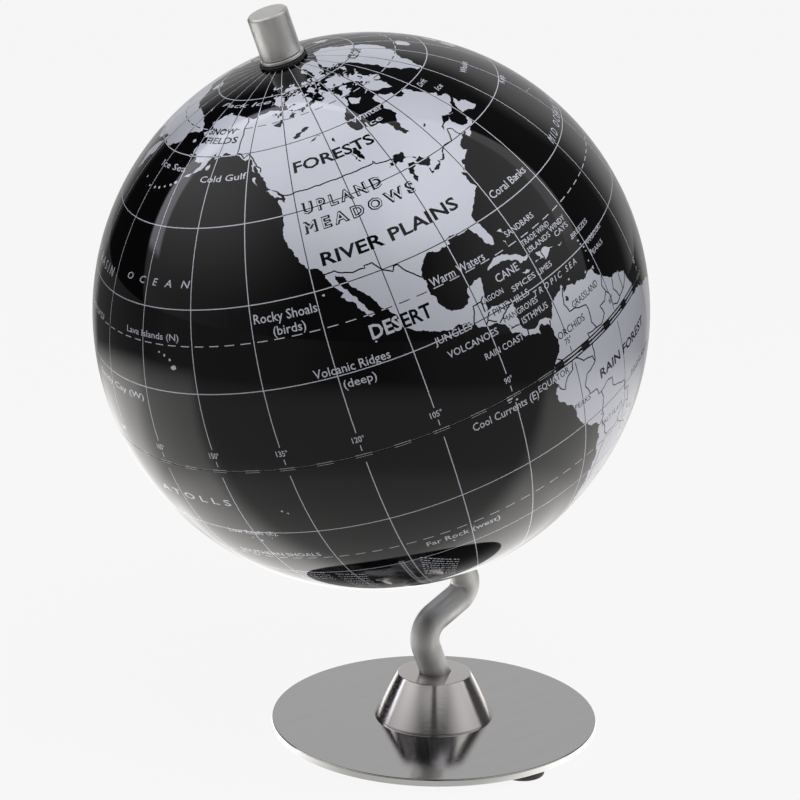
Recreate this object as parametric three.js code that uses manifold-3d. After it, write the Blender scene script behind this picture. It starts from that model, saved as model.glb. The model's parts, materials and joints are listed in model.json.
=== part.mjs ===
// Desktop globe on a tilted stand.
//
// A printed plastic ball, moulded as two half shells, turns on a bent steel rod. The rod runs through the
// ball along its polar axis, comes out at the south pole, jogs sideways in one plane and is fixed at the
// same slant in a turned steel collar. The collar is screwed to a round steel plate that stands on three
// self-adhesive foot pads.
//
// Millimetres, +Z up. The origin is on the table, straight below the ball's centre, and the polar axis lies
// in the XZ plane with its north end leaning towards -X.

import * as THREE from 'three';
import { mergeVertices } from 'three/addons/utils/BufferGeometryUtils.js';
import Module from 'manifold-3d';

const wasm = await Module();
wasm.setup();

// ---------------------------------------------------------------- driving dimensions

const BALL_RADIUS = 53;            // a 106 mm ball, the 4 inch class of desk globe
const WALL = 1.5;                  // moulded wall of each half shell
const TILT = THREE.MathUtils.degToRad(23.5);   // polar axis against the vertical

const PAD_HEIGHT = 1.6;
const PAD_RADIUS = 4.5;
const PAD_CHAMFER = 0.3;
const PAD_PITCH_RADIUS = 28.3;     // from the plate's centre to a pad's centre
const PAD_COUNT = 3;
const FIRST_PAD_ANGLE = THREE.MathUtils.degToRad(-94);

const PLATE_RADIUS = 33.5;
const PLATE_THICKNESS = 1.5;
const PLATE_OFFSET = 17.5;         // plate's centre, along +X from the point below the ball's centre
const CENTRE_ABOVE_PLATE = 86.55;  // ball's centre above the plate's top face
const PLATE_ROUND = 0.35;          // both corners of the plate's rim

const COLLAR_BOTTOM_RADIUS = 12.25;
const COLLAR_TOP_RADIUS = 7.5;
const COLLAR_HEIGHT = 9.1;
const COLLAR_CHAMFER = 0.3;        // round the top face
const COLLAR_FOOT_EDGE = 0.25;     // upright land at the cone's foot

const ROD_RADIUS = 3;
const ROD_STRAIGHT_BELOW_POLE = 10.7;   // along the axis, before the upper bend
const UPPER_BEND_RADIUS = 3.3;          // centreline radii of the two bends
const LOWER_BEND_RADIUS = 4.6;
const JOG_ANGLE = THREE.MathUtils.degToRad(-66);   // direction of the jog, from straight down towards +X
const JOG_LENGTH = 6.8;                 // straight stretch between the two bends
const ROD_END_ABOVE_PLATE = 2.2;        // foot of the rod inside the collar

const SPIGOT_RADIUS = 2;           // M4 thread at the rod's top end
const SPIGOT_LENGTH_IN_CAP = 5.6;
const CAP_RADIUS = 3.75;
const CAP_LENGTH = 8.15;
const CAP_CHAMFER = 0.35;
const STEEL_WASHER_RADIUS = 4.05;
const STEEL_WASHER_THICKNESS = 0.6;
const FRICTION_WASHER_RADIUS = 4.45;
const FRICTION_WASHER_THICKNESS = 0.4;

const BUSHING_BARREL_RADIUS = 3.9;
const BUSHING_FLANGE_RADIUS = 7;
const BUSHING_FLANGE_THICKNESS = 1.5;

const THRUST_WASHER_RADIUS = 5.5;
const THRUST_WASHER_THICKNESS = 0.8;
const CLIP_RADIUS = 4.9;
const CLIP_THICKNESS = 0.8;
const CLIP_MOUTH = THREE.MathUtils.degToRad(35);   // half the opening of the clip
const GROOVE_RADIUS = 2.5;

const SCREW_SHANK_RADIUS = 1.25;   // M2.5 countersunk
const SCREW_HEAD_RADIUS = 2.3;
const SCREW_LENGTH = 5;
const SCREW_PITCH_RADIUS = 7.4;
const SCREW_ANGLES = [60, 180, 300].map((angle) => THREE.MathUtils.degToRad(angle));
const RECESS_LENGTH = 2.4;         // cross recess in the screw's head
const RECESS_WIDTH = 0.5;
const RECESS_DEPTH = 0.7;

const SET_SCREW_RADIUS = 1.5;      // M3 grub screw, hexagon socket
const SET_SCREW_LENGTH = 4.5;
const SET_SCREW_ABOVE_PLATE = 6;
const SET_SCREW_CHAMFER = 0.4;
const HEX_KEY_RADIUS = 0.87;
const HEX_KEY_DEPTH = 1.6;

const GAP = 0.3;                   // play round every shaft, screw and seat
const SEAT = 0.2;                  // axial play between the ball and the washers, and in the groove
const STACK_PLAY = 0.1;            // axial play between the pieces stacked under the pole cap

// ---------------------------------------------------------------- places worked out from them

const PLATE_TOP = PAD_HEIGHT + PLATE_THICKNESS;
const CENTRE_Z = PLATE_TOP + CENTRE_ABOVE_PLATE;
const INNER_RADIUS = BALL_RADIUS - WALL;
const POLE_HOLE_RADIUS = BUSHING_BARREL_RADIUS + GAP;
const POLE_HOLE_EDGE = Math.sqrt(BALL_RADIUS ** 2 - POLE_HOLE_RADIUS ** 2);   // above the ball's centre

// Stations along the polar axis, from the ball's centre, northwards positive.
const FRICTION_BOTTOM = POLE_HOLE_EDGE + SEAT;
const SHOULDER = FRICTION_BOTTOM + FRICTION_WASHER_THICKNESS;
const STEEL_WASHER_BOTTOM = SHOULDER + STACK_PLAY;
const CAP_BOTTOM = STEEL_WASHER_BOTTOM + STEEL_WASHER_THICKNESS + STACK_PLAY;
const SPIGOT_TOP = CAP_BOTTOM + SPIGOT_LENGTH_IN_CAP;
const THRUST_TOP = -BALL_RADIUS - SEAT;
const CLIP_TOP = THRUST_TOP - THRUST_WASHER_THICKNESS - SEAT;
const CLIP_BOTTOM = CLIP_TOP - CLIP_THICKNESS;
const BEND_START = -BALL_RADIUS - ROD_STRAIGHT_BELOW_POLE;

// ---------------------------------------------------------------- fineness of the round shapes

const BALL_SEGMENTS = 48;
const PLATE_SEGMENTS = 72;
const COLLAR_SEGMENTS = 48;
const CAP_SEGMENTS = 36;
const BUSHING_SEGMENTS = 32;
const PAD_SEGMENTS = 28;
const SMALL_SEGMENTS = 24;
const SCREW_SEGMENTS = 20;
const HEXAGON = 6;
const OUTSIDE_STEPS = 12;          // from the seam to the pole hole
const INSIDE_STEPS = 9;
const BEND_STEPS = 9;
const CUT_OVERRUN = 1;             // how far a cutting shape runs past the face it opens
const MERGE_TOLERANCE = 1e-5;

// ---------------------------------------------------------------- finishes

const finish = (color, roughness, metalness) =>
  new THREE.MeshStandardMaterial({ color, roughness, metalness });

const FINISHES = {
  lacquer: () => finish(0x101114, 0.12, 0.25),
  whitePlastic: () => finish(0xd8d8d2, 0.45, 0),
  steel: () => finish(0xa9a9a6, 0.32, 1),
  darkRubber: () => finish(0x1b1a1a, 0.75, 0),
  screwSteel: () => finish(0x8d8d8a, 0.3, 1),
};

// ---------------------------------------------------------------- geometry helpers

function closed(geometry) {
  const bare = geometry.clone();
  bare.deleteAttribute('normal');
  bare.deleteAttribute('uv');
  return mergeVertices(bare, MERGE_TOLERANCE);
}

function toSolid(geometry) {
  const merged = closed(geometry);
  const mesh = new wasm.Mesh({
    numProp: 3,
    vertProperties: new Float32Array(merged.attributes.position.array),
    triVerts: new Uint32Array(merged.index.array),
  });
  mesh.merge();
  return new wasm.Manifold(mesh);
}

function toGeometry(solid) {
  const mesh = solid.getMesh();
  const geometry = new THREE.BufferGeometry();
  geometry.setAttribute('position', new THREE.BufferAttribute(mesh.vertProperties, 3));
  geometry.setIndex(new THREE.BufferAttribute(mesh.triVerts, 1));
  geometry.computeVertexNormals();
  return geometry;
}

// A turned solid about Z. The profile is a list of [radius, height] pairs, run from the foot upwards on
// the outside; a profile that leaves the axis closes on itself.
function turned(profile, segments) {
  const points = profile.map(([radius, height]) => new THREE.Vector2(radius, height));
  const onAxis = profile[0][0] === 0 && profile.at(-1)[0] === 0;
  if (!onAxis) points.push(points[0].clone());
  const geometry = new THREE.LatheGeometry(points, segments);
  geometry.rotateX(Math.PI / 2);
  return closed(geometry);
}

function rod(radius, low, high, segments) {
  return turned([[0, low], [radius, low], [radius, high], [0, high]], segments);
}

function ring(inner, outer, low, high, segments) {
  return turned([[inner, low], [outer, low], [outer, high], [inner, high]], segments);
}

// Points along a circle of the ball's polar section, as [radius, height], between two latitudes.
function polarArc(radius, fromLatitude, toLatitude, steps) {
  const points = [];
  for (let i = 0; i <= steps; i += 1) {
    const latitude = fromLatitude + ((toLatitude - fromLatitude) * i) / steps;
    points.push([radius * Math.cos(latitude), radius * Math.sin(latitude)]);
  }
  return points;
}

function part(name, geometry, material) {
  const mesh = new THREE.Mesh(geometry, material);
  mesh.name = name;
  return mesh;
}

// ---------------------------------------------------------------- the ball

// Each half is a shell with a pole hole and a plain butt edge; the seam is held by a ring inside.
const SEAM_HALF_GAP = 0.15;

function halfShell(sign) {
  const edge = Math.asin(SEAM_HALF_GAP / BALL_RADIUS);
  const innerEdge = Math.asin(SEAM_HALF_GAP / INNER_RADIUS);
  const pole = Math.acos(POLE_HOLE_RADIUS / BALL_RADIUS);
  const innerPole = Math.acos(POLE_HOLE_RADIUS / INNER_RADIUS);
  const outside = polarArc(BALL_RADIUS, edge, pole, OUTSIDE_STEPS);
  const inside = polarArc(INNER_RADIUS, innerPole, innerEdge, INSIDE_STEPS);
  const profile = [...outside, ...inside].map(([radius, height]) => [radius, sign * height]);
  return turned(sign > 0 ? profile : profile.reverse(), BALL_SEGMENTS);
}

// The joining ring: a flat band bonded inside both halves.
const SEAM_RING_HEIGHT = 9;
const SEAM_RING_THICKNESS = 1.2;

function seamRing() {
  const half = SEAM_RING_HEIGHT / 2;
  const bandRadius = Math.sqrt(INNER_RADIUS ** 2 - half ** 2);
  const outer = bandRadius - GAP;
  const inner = outer - SEAM_RING_THICKNESS;
  return ring(inner, outer, -half, half, BALL_SEGMENTS);
}

// A flanged bush put in from the inside: the flange sits under the shell and the barrel fills the hole.
function bushing(sign) {
  const underShell = Math.sqrt(INNER_RADIUS ** 2 - BUSHING_FLANGE_RADIUS ** 2) - GAP;
  const flangeFoot = underShell - BUSHING_FLANGE_THICKNESS;
  const bore = ROD_RADIUS + GAP;
  const profile = [
    [bore, flangeFoot],
    [BUSHING_FLANGE_RADIUS, flangeFoot],
    [BUSHING_FLANGE_RADIUS, underShell],
    [BUSHING_BARREL_RADIUS, underShell],
    [BUSHING_BARREL_RADIUS, POLE_HOLE_EDGE],
    [bore, POLE_HOLE_EDGE],
  ].map(([radius, height]) => [radius, sign * height]);
  return turned(sign > 0 ? profile : profile.reverse(), BUSHING_SEGMENTS);
}

// ---------------------------------------------------------------- the rod

// The rod's centreline in the XZ plane: down the polar axis, round the first bend into the jog, back round
// the second bend to the polar slant, and down into the collar. One station for each end of a straight and
// several round each bend.
function rodStations() {
  const stations = [];
  const here = new THREE.Vector2(0, CENTRE_Z);
  const step = (length, angle) => {
    here.x += length * Math.sin(angle);
    here.y -= length * Math.cos(angle);
    stations.push(new THREE.Vector3(here.x, 0, here.y));
  };
  const bend = (from, to, radius) => {
    const turn = (to - from) / BEND_STEPS;
    const chord = 2 * radius * Math.sin(Math.abs(turn) / 2);
    for (let i = 0; i < BEND_STEPS; i += 1) step(chord, from + turn * (i + 0.5));
  };
  step(-SHOULDER, TILT);
  step(SHOULDER - BEND_START, TILT);
  bend(TILT, JOG_ANGLE, UPPER_BEND_RADIUS);
  step(JOG_LENGTH, JOG_ANGLE);
  bend(JOG_ANGLE, TILT, LOWER_BEND_RADIUS);
  const drop = here.y - PLATE_TOP - ROD_END_ABOVE_PLATE;
  step(drop / Math.cos(TILT), TILT);
  return stations;
}

// A path whose sweep takes exactly one step for each of its own stations.
class StationPath extends THREE.Curve {
  constructor(stations) {
    super();
    this.stations = stations;
  }

  getPoint(t, target = new THREE.Vector3()) {
    const last = this.stations.length - 1;
    const place = THREE.MathUtils.clamp(t, 0, 1) * last;
    const i = Math.min(Math.floor(place), last - 1);
    return target.lerpVectors(this.stations[i], this.stations[i + 1], place - i);
  }

  getUtoTmapping(u) {
    return u;
  }
}

function circleShape(radius, sides) {
  const shape = new THREE.Shape();
  for (let i = 0; i < sides; i += 1) {
    const angle = (2 * Math.PI * i) / sides;
    const x = radius * Math.cos(angle);
    const y = radius * Math.sin(angle);
    if (i === 0) shape.moveTo(x, y);
    else shape.lineTo(x, y);
  }
  shape.closePath();
  return shape;
}

// Puts a geometry that is drawn about the ball's centre, north up, into the tilted frame.
function ontoAxis(geometry) {
  const placed = geometry.clone();
  placed.rotateY(-TILT);
  placed.translate(0, 0, CENTRE_Z);
  return placed;
}

function axisRod(stations) {
  const sweep = new THREE.ExtrudeGeometry(circleShape(ROD_RADIUS, SCREW_SEGMENTS), {
    steps: stations.length - 1,
    extrudePath: new StationPath(stations),
  });
  const spigot = rod(SPIGOT_RADIUS, SHOULDER - CUT_OVERRUN, SPIGOT_TOP, SCREW_SEGMENTS);
  const grooveFoot = CLIP_BOTTOM - SEAT;
  const grooveTop = CLIP_TOP + SEAT;
  const groove = ring(GROOVE_RADIUS, ROD_RADIUS + CUT_OVERRUN, grooveFoot, grooveTop, SMALL_SEGMENTS);
  const solid = toSolid(sweep).add(toSolid(ontoAxis(spigot))).subtract(toSolid(ontoAxis(groove)));
  return toGeometry(solid);
}

// ---------------------------------------------------------------- pieces on the rod

function poleCap() {
  const bore = SPIGOT_RADIUS + GAP;
  const top = CAP_BOTTOM + CAP_LENGTH;
  return turned([
    [0, SPIGOT_TOP + GAP],
    [bore, SPIGOT_TOP + GAP],
    [bore, CAP_BOTTOM],
    [CAP_RADIUS - CAP_CHAMFER / 2, CAP_BOTTOM],
    [CAP_RADIUS, CAP_BOTTOM + CAP_CHAMFER / 2],
    [CAP_RADIUS, top - CAP_CHAMFER],
    [CAP_RADIUS - CAP_CHAMFER, top],
    [0, top],
  ], CAP_SEGMENTS);
}

// An open ring that snaps into the rod's groove from the side.
function retainingClip() {
  const inner = GROOVE_RADIUS + GAP;
  const otherEnd = 2 * Math.PI - CLIP_MOUTH;
  const shape = new THREE.Shape();
  shape.absarc(0, 0, CLIP_RADIUS, CLIP_MOUTH, otherEnd, false);
  shape.absarc(0, 0, inner, otherEnd, CLIP_MOUTH, true);
  shape.closePath();
  const geometry = new THREE.ExtrudeGeometry(shape, {
    depth: CLIP_THICKNESS,
    bevelEnabled: false,
    curveSegments: SMALL_SEGMENTS,
  });
  geometry.translate(0, 0, CLIP_BOTTOM);
  return closed(geometry);
}

// ---------------------------------------------------------------- the stand

function polar(radius, angle) {
  return new THREE.Vector2(radius * Math.cos(angle), radius * Math.sin(angle));
}

// Drawn about the collar's own centre, standing on the plate.
function collar(stations) {
  const cone = turned([
    [0, 0],
    [COLLAR_BOTTOM_RADIUS, 0],
    [COLLAR_BOTTOM_RADIUS, COLLAR_FOOT_EDGE],
    [COLLAR_TOP_RADIUS + COLLAR_CHAMFER / 2, COLLAR_HEIGHT - COLLAR_CHAMFER],
    [COLLAR_TOP_RADIUS - COLLAR_CHAMFER, COLLAR_HEIGHT],
    [0, COLLAR_HEIGHT],
  ], COLLAR_SEGMENTS);
  let solid = toSolid(cone);

  const foot = stations.at(-1);
  const socket = rod(ROD_RADIUS + GAP, -GAP, 2 * COLLAR_HEIGHT, SMALL_SEGMENTS);
  socket.rotateY(-TILT);
  socket.translate(foot.x - PLATE_OFFSET, 0, foot.z - PLATE_TOP);
  solid = solid.subtract(toSolid(socket));

  const screwHoleTop = SCREW_LENGTH - PLATE_THICKNESS + GAP;
  for (const angle of SCREW_ANGLES) {
    const at = polar(SCREW_PITCH_RADIUS, angle);
    const hole = rod(SCREW_SHANK_RADIUS + GAP, -CUT_OVERRUN, screwHoleTop, SCREW_SEGMENTS);
    hole.translate(at.x, at.y, 0);
    solid = solid.subtract(toSolid(hole));
  }

  const crossHole = rod(SET_SCREW_RADIUS + GAP, 0, COLLAR_BOTTOM_RADIUS, SCREW_SEGMENTS);
  crossHole.rotateX(-Math.PI / 2);
  crossHole.translate(setScrewX(stations), 0, SET_SCREW_ABOVE_PLATE);
  solid = solid.subtract(toSolid(crossHole));
  return toGeometry(solid);
}

// Where the rod's centreline passes the set screw's height, from the collar's centre.
function setScrewX(stations) {
  const foot = stations.at(-1);
  const rise = SET_SCREW_ABOVE_PLATE + PLATE_TOP - foot.z;
  return foot.x - rise * Math.tan(TILT) - PLATE_OFFSET;
}

// Drawn about its own axis, point at the origin, driven end at +Z.
function setScrew() {
  const body = turned([
    [0, 0],
    [SET_SCREW_RADIUS - SET_SCREW_CHAMFER, 0],
    [SET_SCREW_RADIUS, SET_SCREW_CHAMFER],
    [SET_SCREW_RADIUS, SET_SCREW_LENGTH],
    [0, SET_SCREW_LENGTH],
  ], SMALL_SEGMENTS);
  const keyFoot = SET_SCREW_LENGTH - HEX_KEY_DEPTH;
  const key = rod(HEX_KEY_RADIUS, keyFoot, SET_SCREW_LENGTH + CUT_OVERRUN, HEXAGON);
  return toGeometry(toSolid(body).subtract(toSolid(key)));
}

const HEAD_HEIGHT = SCREW_HEAD_RADIUS - SCREW_SHANK_RADIUS;   // 90 degree countersink

// Drawn about the plate's centre, underside at z = 0.
function basePlate() {
  const middle = PLATE_ROUND * (1 - Math.SQRT1_2);   // the rounding at 45 degrees, in from both faces
  let solid = toSolid(turned([
    [0, 0],
    [PLATE_RADIUS - PLATE_ROUND, 0],
    [PLATE_RADIUS - middle, middle],
    [PLATE_RADIUS, PLATE_ROUND],
    [PLATE_RADIUS, PLATE_THICKNESS - PLATE_ROUND],
    [PLATE_RADIUS - middle, PLATE_THICKNESS - middle],
    [PLATE_RADIUS - PLATE_ROUND, PLATE_THICKNESS],
    [0, PLATE_THICKNESS],
  ], PLATE_SEGMENTS));
  for (const angle of SCREW_ANGLES) {
    const at = polar(SCREW_PITCH_RADIUS, angle);
    const hole = turned([
      [0, -CUT_OVERRUN],
      [SCREW_HEAD_RADIUS + GAP, -CUT_OVERRUN],
      [SCREW_HEAD_RADIUS + GAP, 0],
      [SCREW_SHANK_RADIUS + GAP, HEAD_HEIGHT],
      [SCREW_SHANK_RADIUS + GAP, PLATE_THICKNESS + CUT_OVERRUN],
      [0, PLATE_THICKNESS + CUT_OVERRUN],
    ], SCREW_SEGMENTS);
    hole.translate(at.x, at.y, 0);
    solid = solid.subtract(toSolid(hole));
  }
  return toGeometry(solid);
}

// Drawn about its own axis, head down, head face at z = 0.
function baseScrew() {
  const body = turned([
    [0, 0],
    [SCREW_HEAD_RADIUS, 0],
    [SCREW_SHANK_RADIUS, HEAD_HEIGHT],
    [SCREW_SHANK_RADIUS, SCREW_LENGTH],
    [0, SCREW_LENGTH],
  ], SCREW_SEGMENTS);
  const slot = new THREE.BoxGeometry(RECESS_LENGTH, RECESS_WIDTH, 2 * RECESS_DEPTH);
  const crossSlot = new THREE.BoxGeometry(RECESS_WIDTH, RECESS_LENGTH, 2 * RECESS_DEPTH);
  return toGeometry(toSolid(body).subtract(toSolid(slot)).subtract(toSolid(crossSlot)));
}

function footPad() {
  return turned([
    [0, 0],
    [PAD_RADIUS - PAD_CHAMFER, 0],
    [PAD_RADIUS, PAD_CHAMFER],
    [PAD_RADIUS, PAD_HEIGHT],
    [0, PAD_HEIGHT],
  ], PAD_SEGMENTS);
}

// ---------------------------------------------------------------- assembly

function ballGroup() {
  const group = new THREE.Group();
  group.add(part('north_hemisphere', halfShell(1), FINISHES.lacquer()));
  group.add(part('south_hemisphere', halfShell(-1), FINISHES.lacquer()));
  group.add(part('seam_ring', seamRing(), FINISHES.whitePlastic()));
  group.add(part('north_bushing', bushing(1), FINISHES.whitePlastic()));
  group.add(part('south_bushing', bushing(-1), FINISHES.whitePlastic()));
  return group;
}

function rodFittingsGroup() {
  const group = new THREE.Group();
  const onRod = ROD_RADIUS + GAP;
  const onSpigot = SPIGOT_RADIUS + GAP;
  const steelBottom = STEEL_WASHER_BOTTOM;
  const steelTop = steelBottom + STEEL_WASHER_THICKNESS;
  const thrustBottom = THRUST_TOP - THRUST_WASHER_THICKNESS;
  const frictionWasher = ring(onRod, FRICTION_WASHER_RADIUS, FRICTION_BOTTOM, SHOULDER, CAP_SEGMENTS);
  const steelWasher = ring(onSpigot, STEEL_WASHER_RADIUS, steelBottom, steelTop, CAP_SEGMENTS);
  const thrustWasher = ring(onRod, THRUST_WASHER_RADIUS, thrustBottom, THRUST_TOP, BUSHING_SEGMENTS);
  group.add(part('pole_cap', poleCap(), FINISHES.steel()));
  group.add(part('cap_washer', steelWasher, FINISHES.steel()));
  group.add(part('friction_washer', frictionWasher, FINISHES.darkRubber()));
  group.add(part('thrust_washer', thrustWasher, FINISHES.whitePlastic()));
  group.add(part('retaining_clip', retainingClip(), FINISHES.screwSteel()));
  return group;
}

function standGroup(stations) {
  const group = new THREE.Group();
  group.position.x = PLATE_OFFSET;

  const collarMesh = part('stand_collar', collar(stations), FINISHES.steel());
  collarMesh.position.z = PLATE_TOP;
  group.add(collarMesh);

  const setScrewMesh = part('collar_set_screw', setScrew(), FINISHES.screwSteel());
  setScrewMesh.rotation.x = -Math.PI / 2;
  const setScrewZ = PLATE_TOP + SET_SCREW_ABOVE_PLATE;
  setScrewMesh.position.set(setScrewX(stations), ROD_RADIUS + GAP, setScrewZ);
  group.add(setScrewMesh);

  const plate = part('base_plate', basePlate(), FINISHES.steel());
  plate.position.z = PAD_HEIGHT;
  group.add(plate);

  SCREW_ANGLES.forEach((angle, index) => {
    const at = polar(SCREW_PITCH_RADIUS, angle);
    const screw = part(`base_screw_${index + 1}`, baseScrew(), FINISHES.screwSteel());
    screw.position.set(at.x, at.y, PAD_HEIGHT);
    group.add(screw);
  });

  for (let i = 0; i < PAD_COUNT; i += 1) {
    const at = polar(PAD_PITCH_RADIUS, FIRST_PAD_ANGLE + (2 * Math.PI * i) / PAD_COUNT);
    const pad = part(`foot_pad_${i + 1}`, footPad(), FINISHES.darkRubber());
    pad.position.set(at.x, at.y, 0);
    group.add(pad);
  }
  return group;
}

const globe = new THREE.Group();
const stations = rodStations();

const tilted = new THREE.Group();
tilted.position.z = CENTRE_Z;
tilted.rotation.y = -TILT;
tilted.add(ballGroup(), rodFittingsGroup());

globe.add(tilted);
globe.add(part('axis_rod', axisRod(stations), FINISHES.steel()));
globe.add(standGroup(stations));

export default globe;
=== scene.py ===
import json
import math
import random

import bpy
from mathutils import Matrix, Vector
from mathutils.geometry import delaunay_2d_cdt


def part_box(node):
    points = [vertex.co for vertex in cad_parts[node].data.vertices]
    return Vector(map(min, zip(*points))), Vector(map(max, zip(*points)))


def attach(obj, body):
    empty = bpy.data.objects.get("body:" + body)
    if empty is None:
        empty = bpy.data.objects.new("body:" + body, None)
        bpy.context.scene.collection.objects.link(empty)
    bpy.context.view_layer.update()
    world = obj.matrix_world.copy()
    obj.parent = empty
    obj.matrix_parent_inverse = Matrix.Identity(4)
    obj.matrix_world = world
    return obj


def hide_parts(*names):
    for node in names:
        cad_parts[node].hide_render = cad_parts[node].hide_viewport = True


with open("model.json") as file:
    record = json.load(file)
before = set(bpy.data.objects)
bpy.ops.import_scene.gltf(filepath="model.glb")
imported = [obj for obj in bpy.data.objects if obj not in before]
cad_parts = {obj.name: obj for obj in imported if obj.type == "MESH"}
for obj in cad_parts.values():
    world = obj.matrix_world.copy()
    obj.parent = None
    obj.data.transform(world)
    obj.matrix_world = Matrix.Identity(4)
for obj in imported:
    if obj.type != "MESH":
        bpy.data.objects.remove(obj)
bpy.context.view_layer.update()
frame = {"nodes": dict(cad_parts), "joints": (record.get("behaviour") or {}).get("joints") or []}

MM = 0.001

# ------------------------------------------------------------------ places taken from the frame

SPIN = frame["joints"][0]
CENTRE = Vector(SPIN["pos_m"])
AXIS = Vector(SPIN["axis"]).normalized()
TILT = math.atan2(-AXIS.x, AXIS.z)
SLANT = Matrix.Rotation(-TILT, 4, "Y")
TO_BALL = Matrix.Translation(CENTRE) @ SLANT
BALL_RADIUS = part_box("north_hemisphere")[1].y


def spindle(node):
    """Lowest and highest station along the polar axis and the outer radius of a CAD node on that axis."""
    places = [TO_BALL.inverted() @ v.co for v in frame["nodes"][node].data.vertices]
    heights = [p.z for p in places]
    return min(heights), max(heights), max(math.hypot(p.x, p.y) for p in places)


def upright(node):
    """Centre of the foot, height and outer radius of a CAD node that stands upright."""
    low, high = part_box(node)
    return Vector(((low.x + high.x) / 2, (low.y + high.y) / 2, low.z)), high.z - low.z, (high.y - low.y) / 2


PLATE_FOOT, PLATE_THICKNESS, PLATE_RADIUS = upright("base_plate")
PLATE_TOP = PLATE_FOOT.z + PLATE_THICKNESS

# ------------------------------------------------------------------ sizes of the turned and bent steel

COLLAR_TOP_RADIUS = 7.5 * MM
ROD_RADIUS = 3 * MM
SPIGOT_RADIUS = 2 * MM
GROOVE_RADIUS = 2.5 * MM
ROD_STRAIGHT_BELOW_POLE = 10.7 * MM
UPPER_BEND_RADIUS = 3.3 * MM
LOWER_BEND_RADIUS = 4.6 * MM
JOG_ANGLE = math.radians(-66)       # from straight down towards +X
JOG_LENGTH = 6.8 * MM
ROD_END_ABOVE_PLATE = 2.2 * MM
GAP = 0.3 * MM
FIT = 0.06 * MM                     # the close fit of the rod in the collar, as the eye sees it
BEND_STEPS = 22
ROD_SIDES = 64
TURNED_SIDES = 96
COLLAR_SIDES = 128
ON_AXIS = 1e-5                      # radius that stands for the axis itself

# ------------------------------------------------------------------ mesh helpers


def piece(name, vertices, faces, materials, body, replaced, smooth=True, face_materials=None):
    mesh = bpy.data.meshes.new(name)
    mesh.from_pydata([tuple(v) for v in vertices], [], faces)
    for material in materials:
        mesh.materials.append(material)
    if face_materials:
        mesh.polygons.foreach_set("material_index", face_materials)
    mesh.polygons.foreach_set("use_smooth", [smooth] * len(faces))
    mesh.update()
    made = bpy.data.objects.new(name, mesh)
    bpy.context.scene.collection.objects.link(made)
    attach(made, body)
    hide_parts(*replaced)
    return made


def loft(rings, closed=False):
    """Vertices and quads through rings of equal count. An open loft is capped at both ends."""
    count = len(rings[0])
    vertices = [v for ring in rings for v in ring]
    faces = []
    spans = len(rings) if closed else len(rings) - 1
    for i in range(spans):
        a, b = i * count, ((i + 1) % len(rings)) * count
        for j in range(count):
            k = (j + 1) % count
            faces.append((a + j, a + k, b + k, b + j))
    if not closed:
        faces.append(tuple(reversed(range(count))))
        faces.append(tuple(range((len(rings) - 1) * count, len(rings) * count)))
    return vertices, faces


def circle(radius, height, sides, place=Matrix.Identity(4)):
    turn = 2 * math.pi / sides
    return [
        place @ Vector((radius * math.cos(turn * i), radius * math.sin(turn * i), height))
        for i in range(sides)
    ]


def rounded(profile, radius, steps=4):
    """A profile of (radius, height) corners with every inner corner rounded."""
    made = [Vector(profile[0])]
    for before, corner, after in zip(profile, profile[1:], profile[2:]):
        corner = Vector(corner)
        back, on = Vector(before) - corner, Vector(after) - corner
        reach = min(radius, back.length * 0.45, on.length * 0.45)
        start, end = corner + back.normalized() * reach, corner + on.normalized() * reach
        for i in range(steps + 1):
            t = i / steps
            made.append(start * (1 - t) ** 2 + corner * 2 * t * (1 - t) + end * t ** 2)
    made.append(Vector(profile[-1]))
    return made


def turned(profile, sides, place, closed=False):
    return loft([circle(p[0], p[1], sides, place) for p in profile], closed)


def sharpen(made, angle):
    """Keeps edges crisp where the surface turns by more than the angle."""
    made.data.set_sharp_from_angle(angle=math.radians(angle))
    return made


# ------------------------------------------------------------------ material helpers


class Shader:
    """A node material: one Principled surface, with its constant values set on the sockets."""

    def __init__(self, name, **sockets):
        self.material = bpy.data.materials.new(name)
        self.material.use_nodes = True
        self.tree = self.material.node_tree
        self.surface = self.tree.nodes["Principled BSDF"]
        for socket, value in sockets.items():
            self.surface.inputs[socket.replace("_", " ")].default_value = value

    def node(self, kind, **settings):
        return add_node(self.tree, kind, **settings)

    def link(self, source, target):
        self.tree.links.new(source, target)

    def to(self, socket, source):
        self.link(source, self.surface.inputs[socket])


def add_node(tree, kind, **settings):
    made = tree.nodes.new(kind)
    for name, value in settings.items():
        if name in made.inputs:
            made.inputs[name].default_value = value
        else:
            setattr(made, name, value)
    return made


def calc(tree, operation, *values):
    made = tree.nodes.new("ShaderNodeMath")
    made.operation = operation
    for socket, value in zip(made.inputs, values):
        if isinstance(value, (int, float)):
            socket.default_value = value
        else:
            tree.links.new(value, socket)
    return made.outputs[0]


def times(tree, product, *values):
    """The values multiplied from left to right."""
    for value in values:
        product = calc(tree, "MULTIPLY", product, value)
    return product


def ramp(tree, value, start, end, low=0.0, high=1.0):
    """Goes smoothly from low to high as the value goes from start to end."""
    made = tree.nodes.new("ShaderNodeMapRange")
    made.interpolation_type = "SMOOTHSTEP"
    for name, number in (("From Min", start), ("From Max", end), ("To Min", low), ("To Max", high)):
        made.inputs[name].default_value = number
    tree.links.new(value, made.inputs["Value"])
    return made.outputs["Result"]


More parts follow.
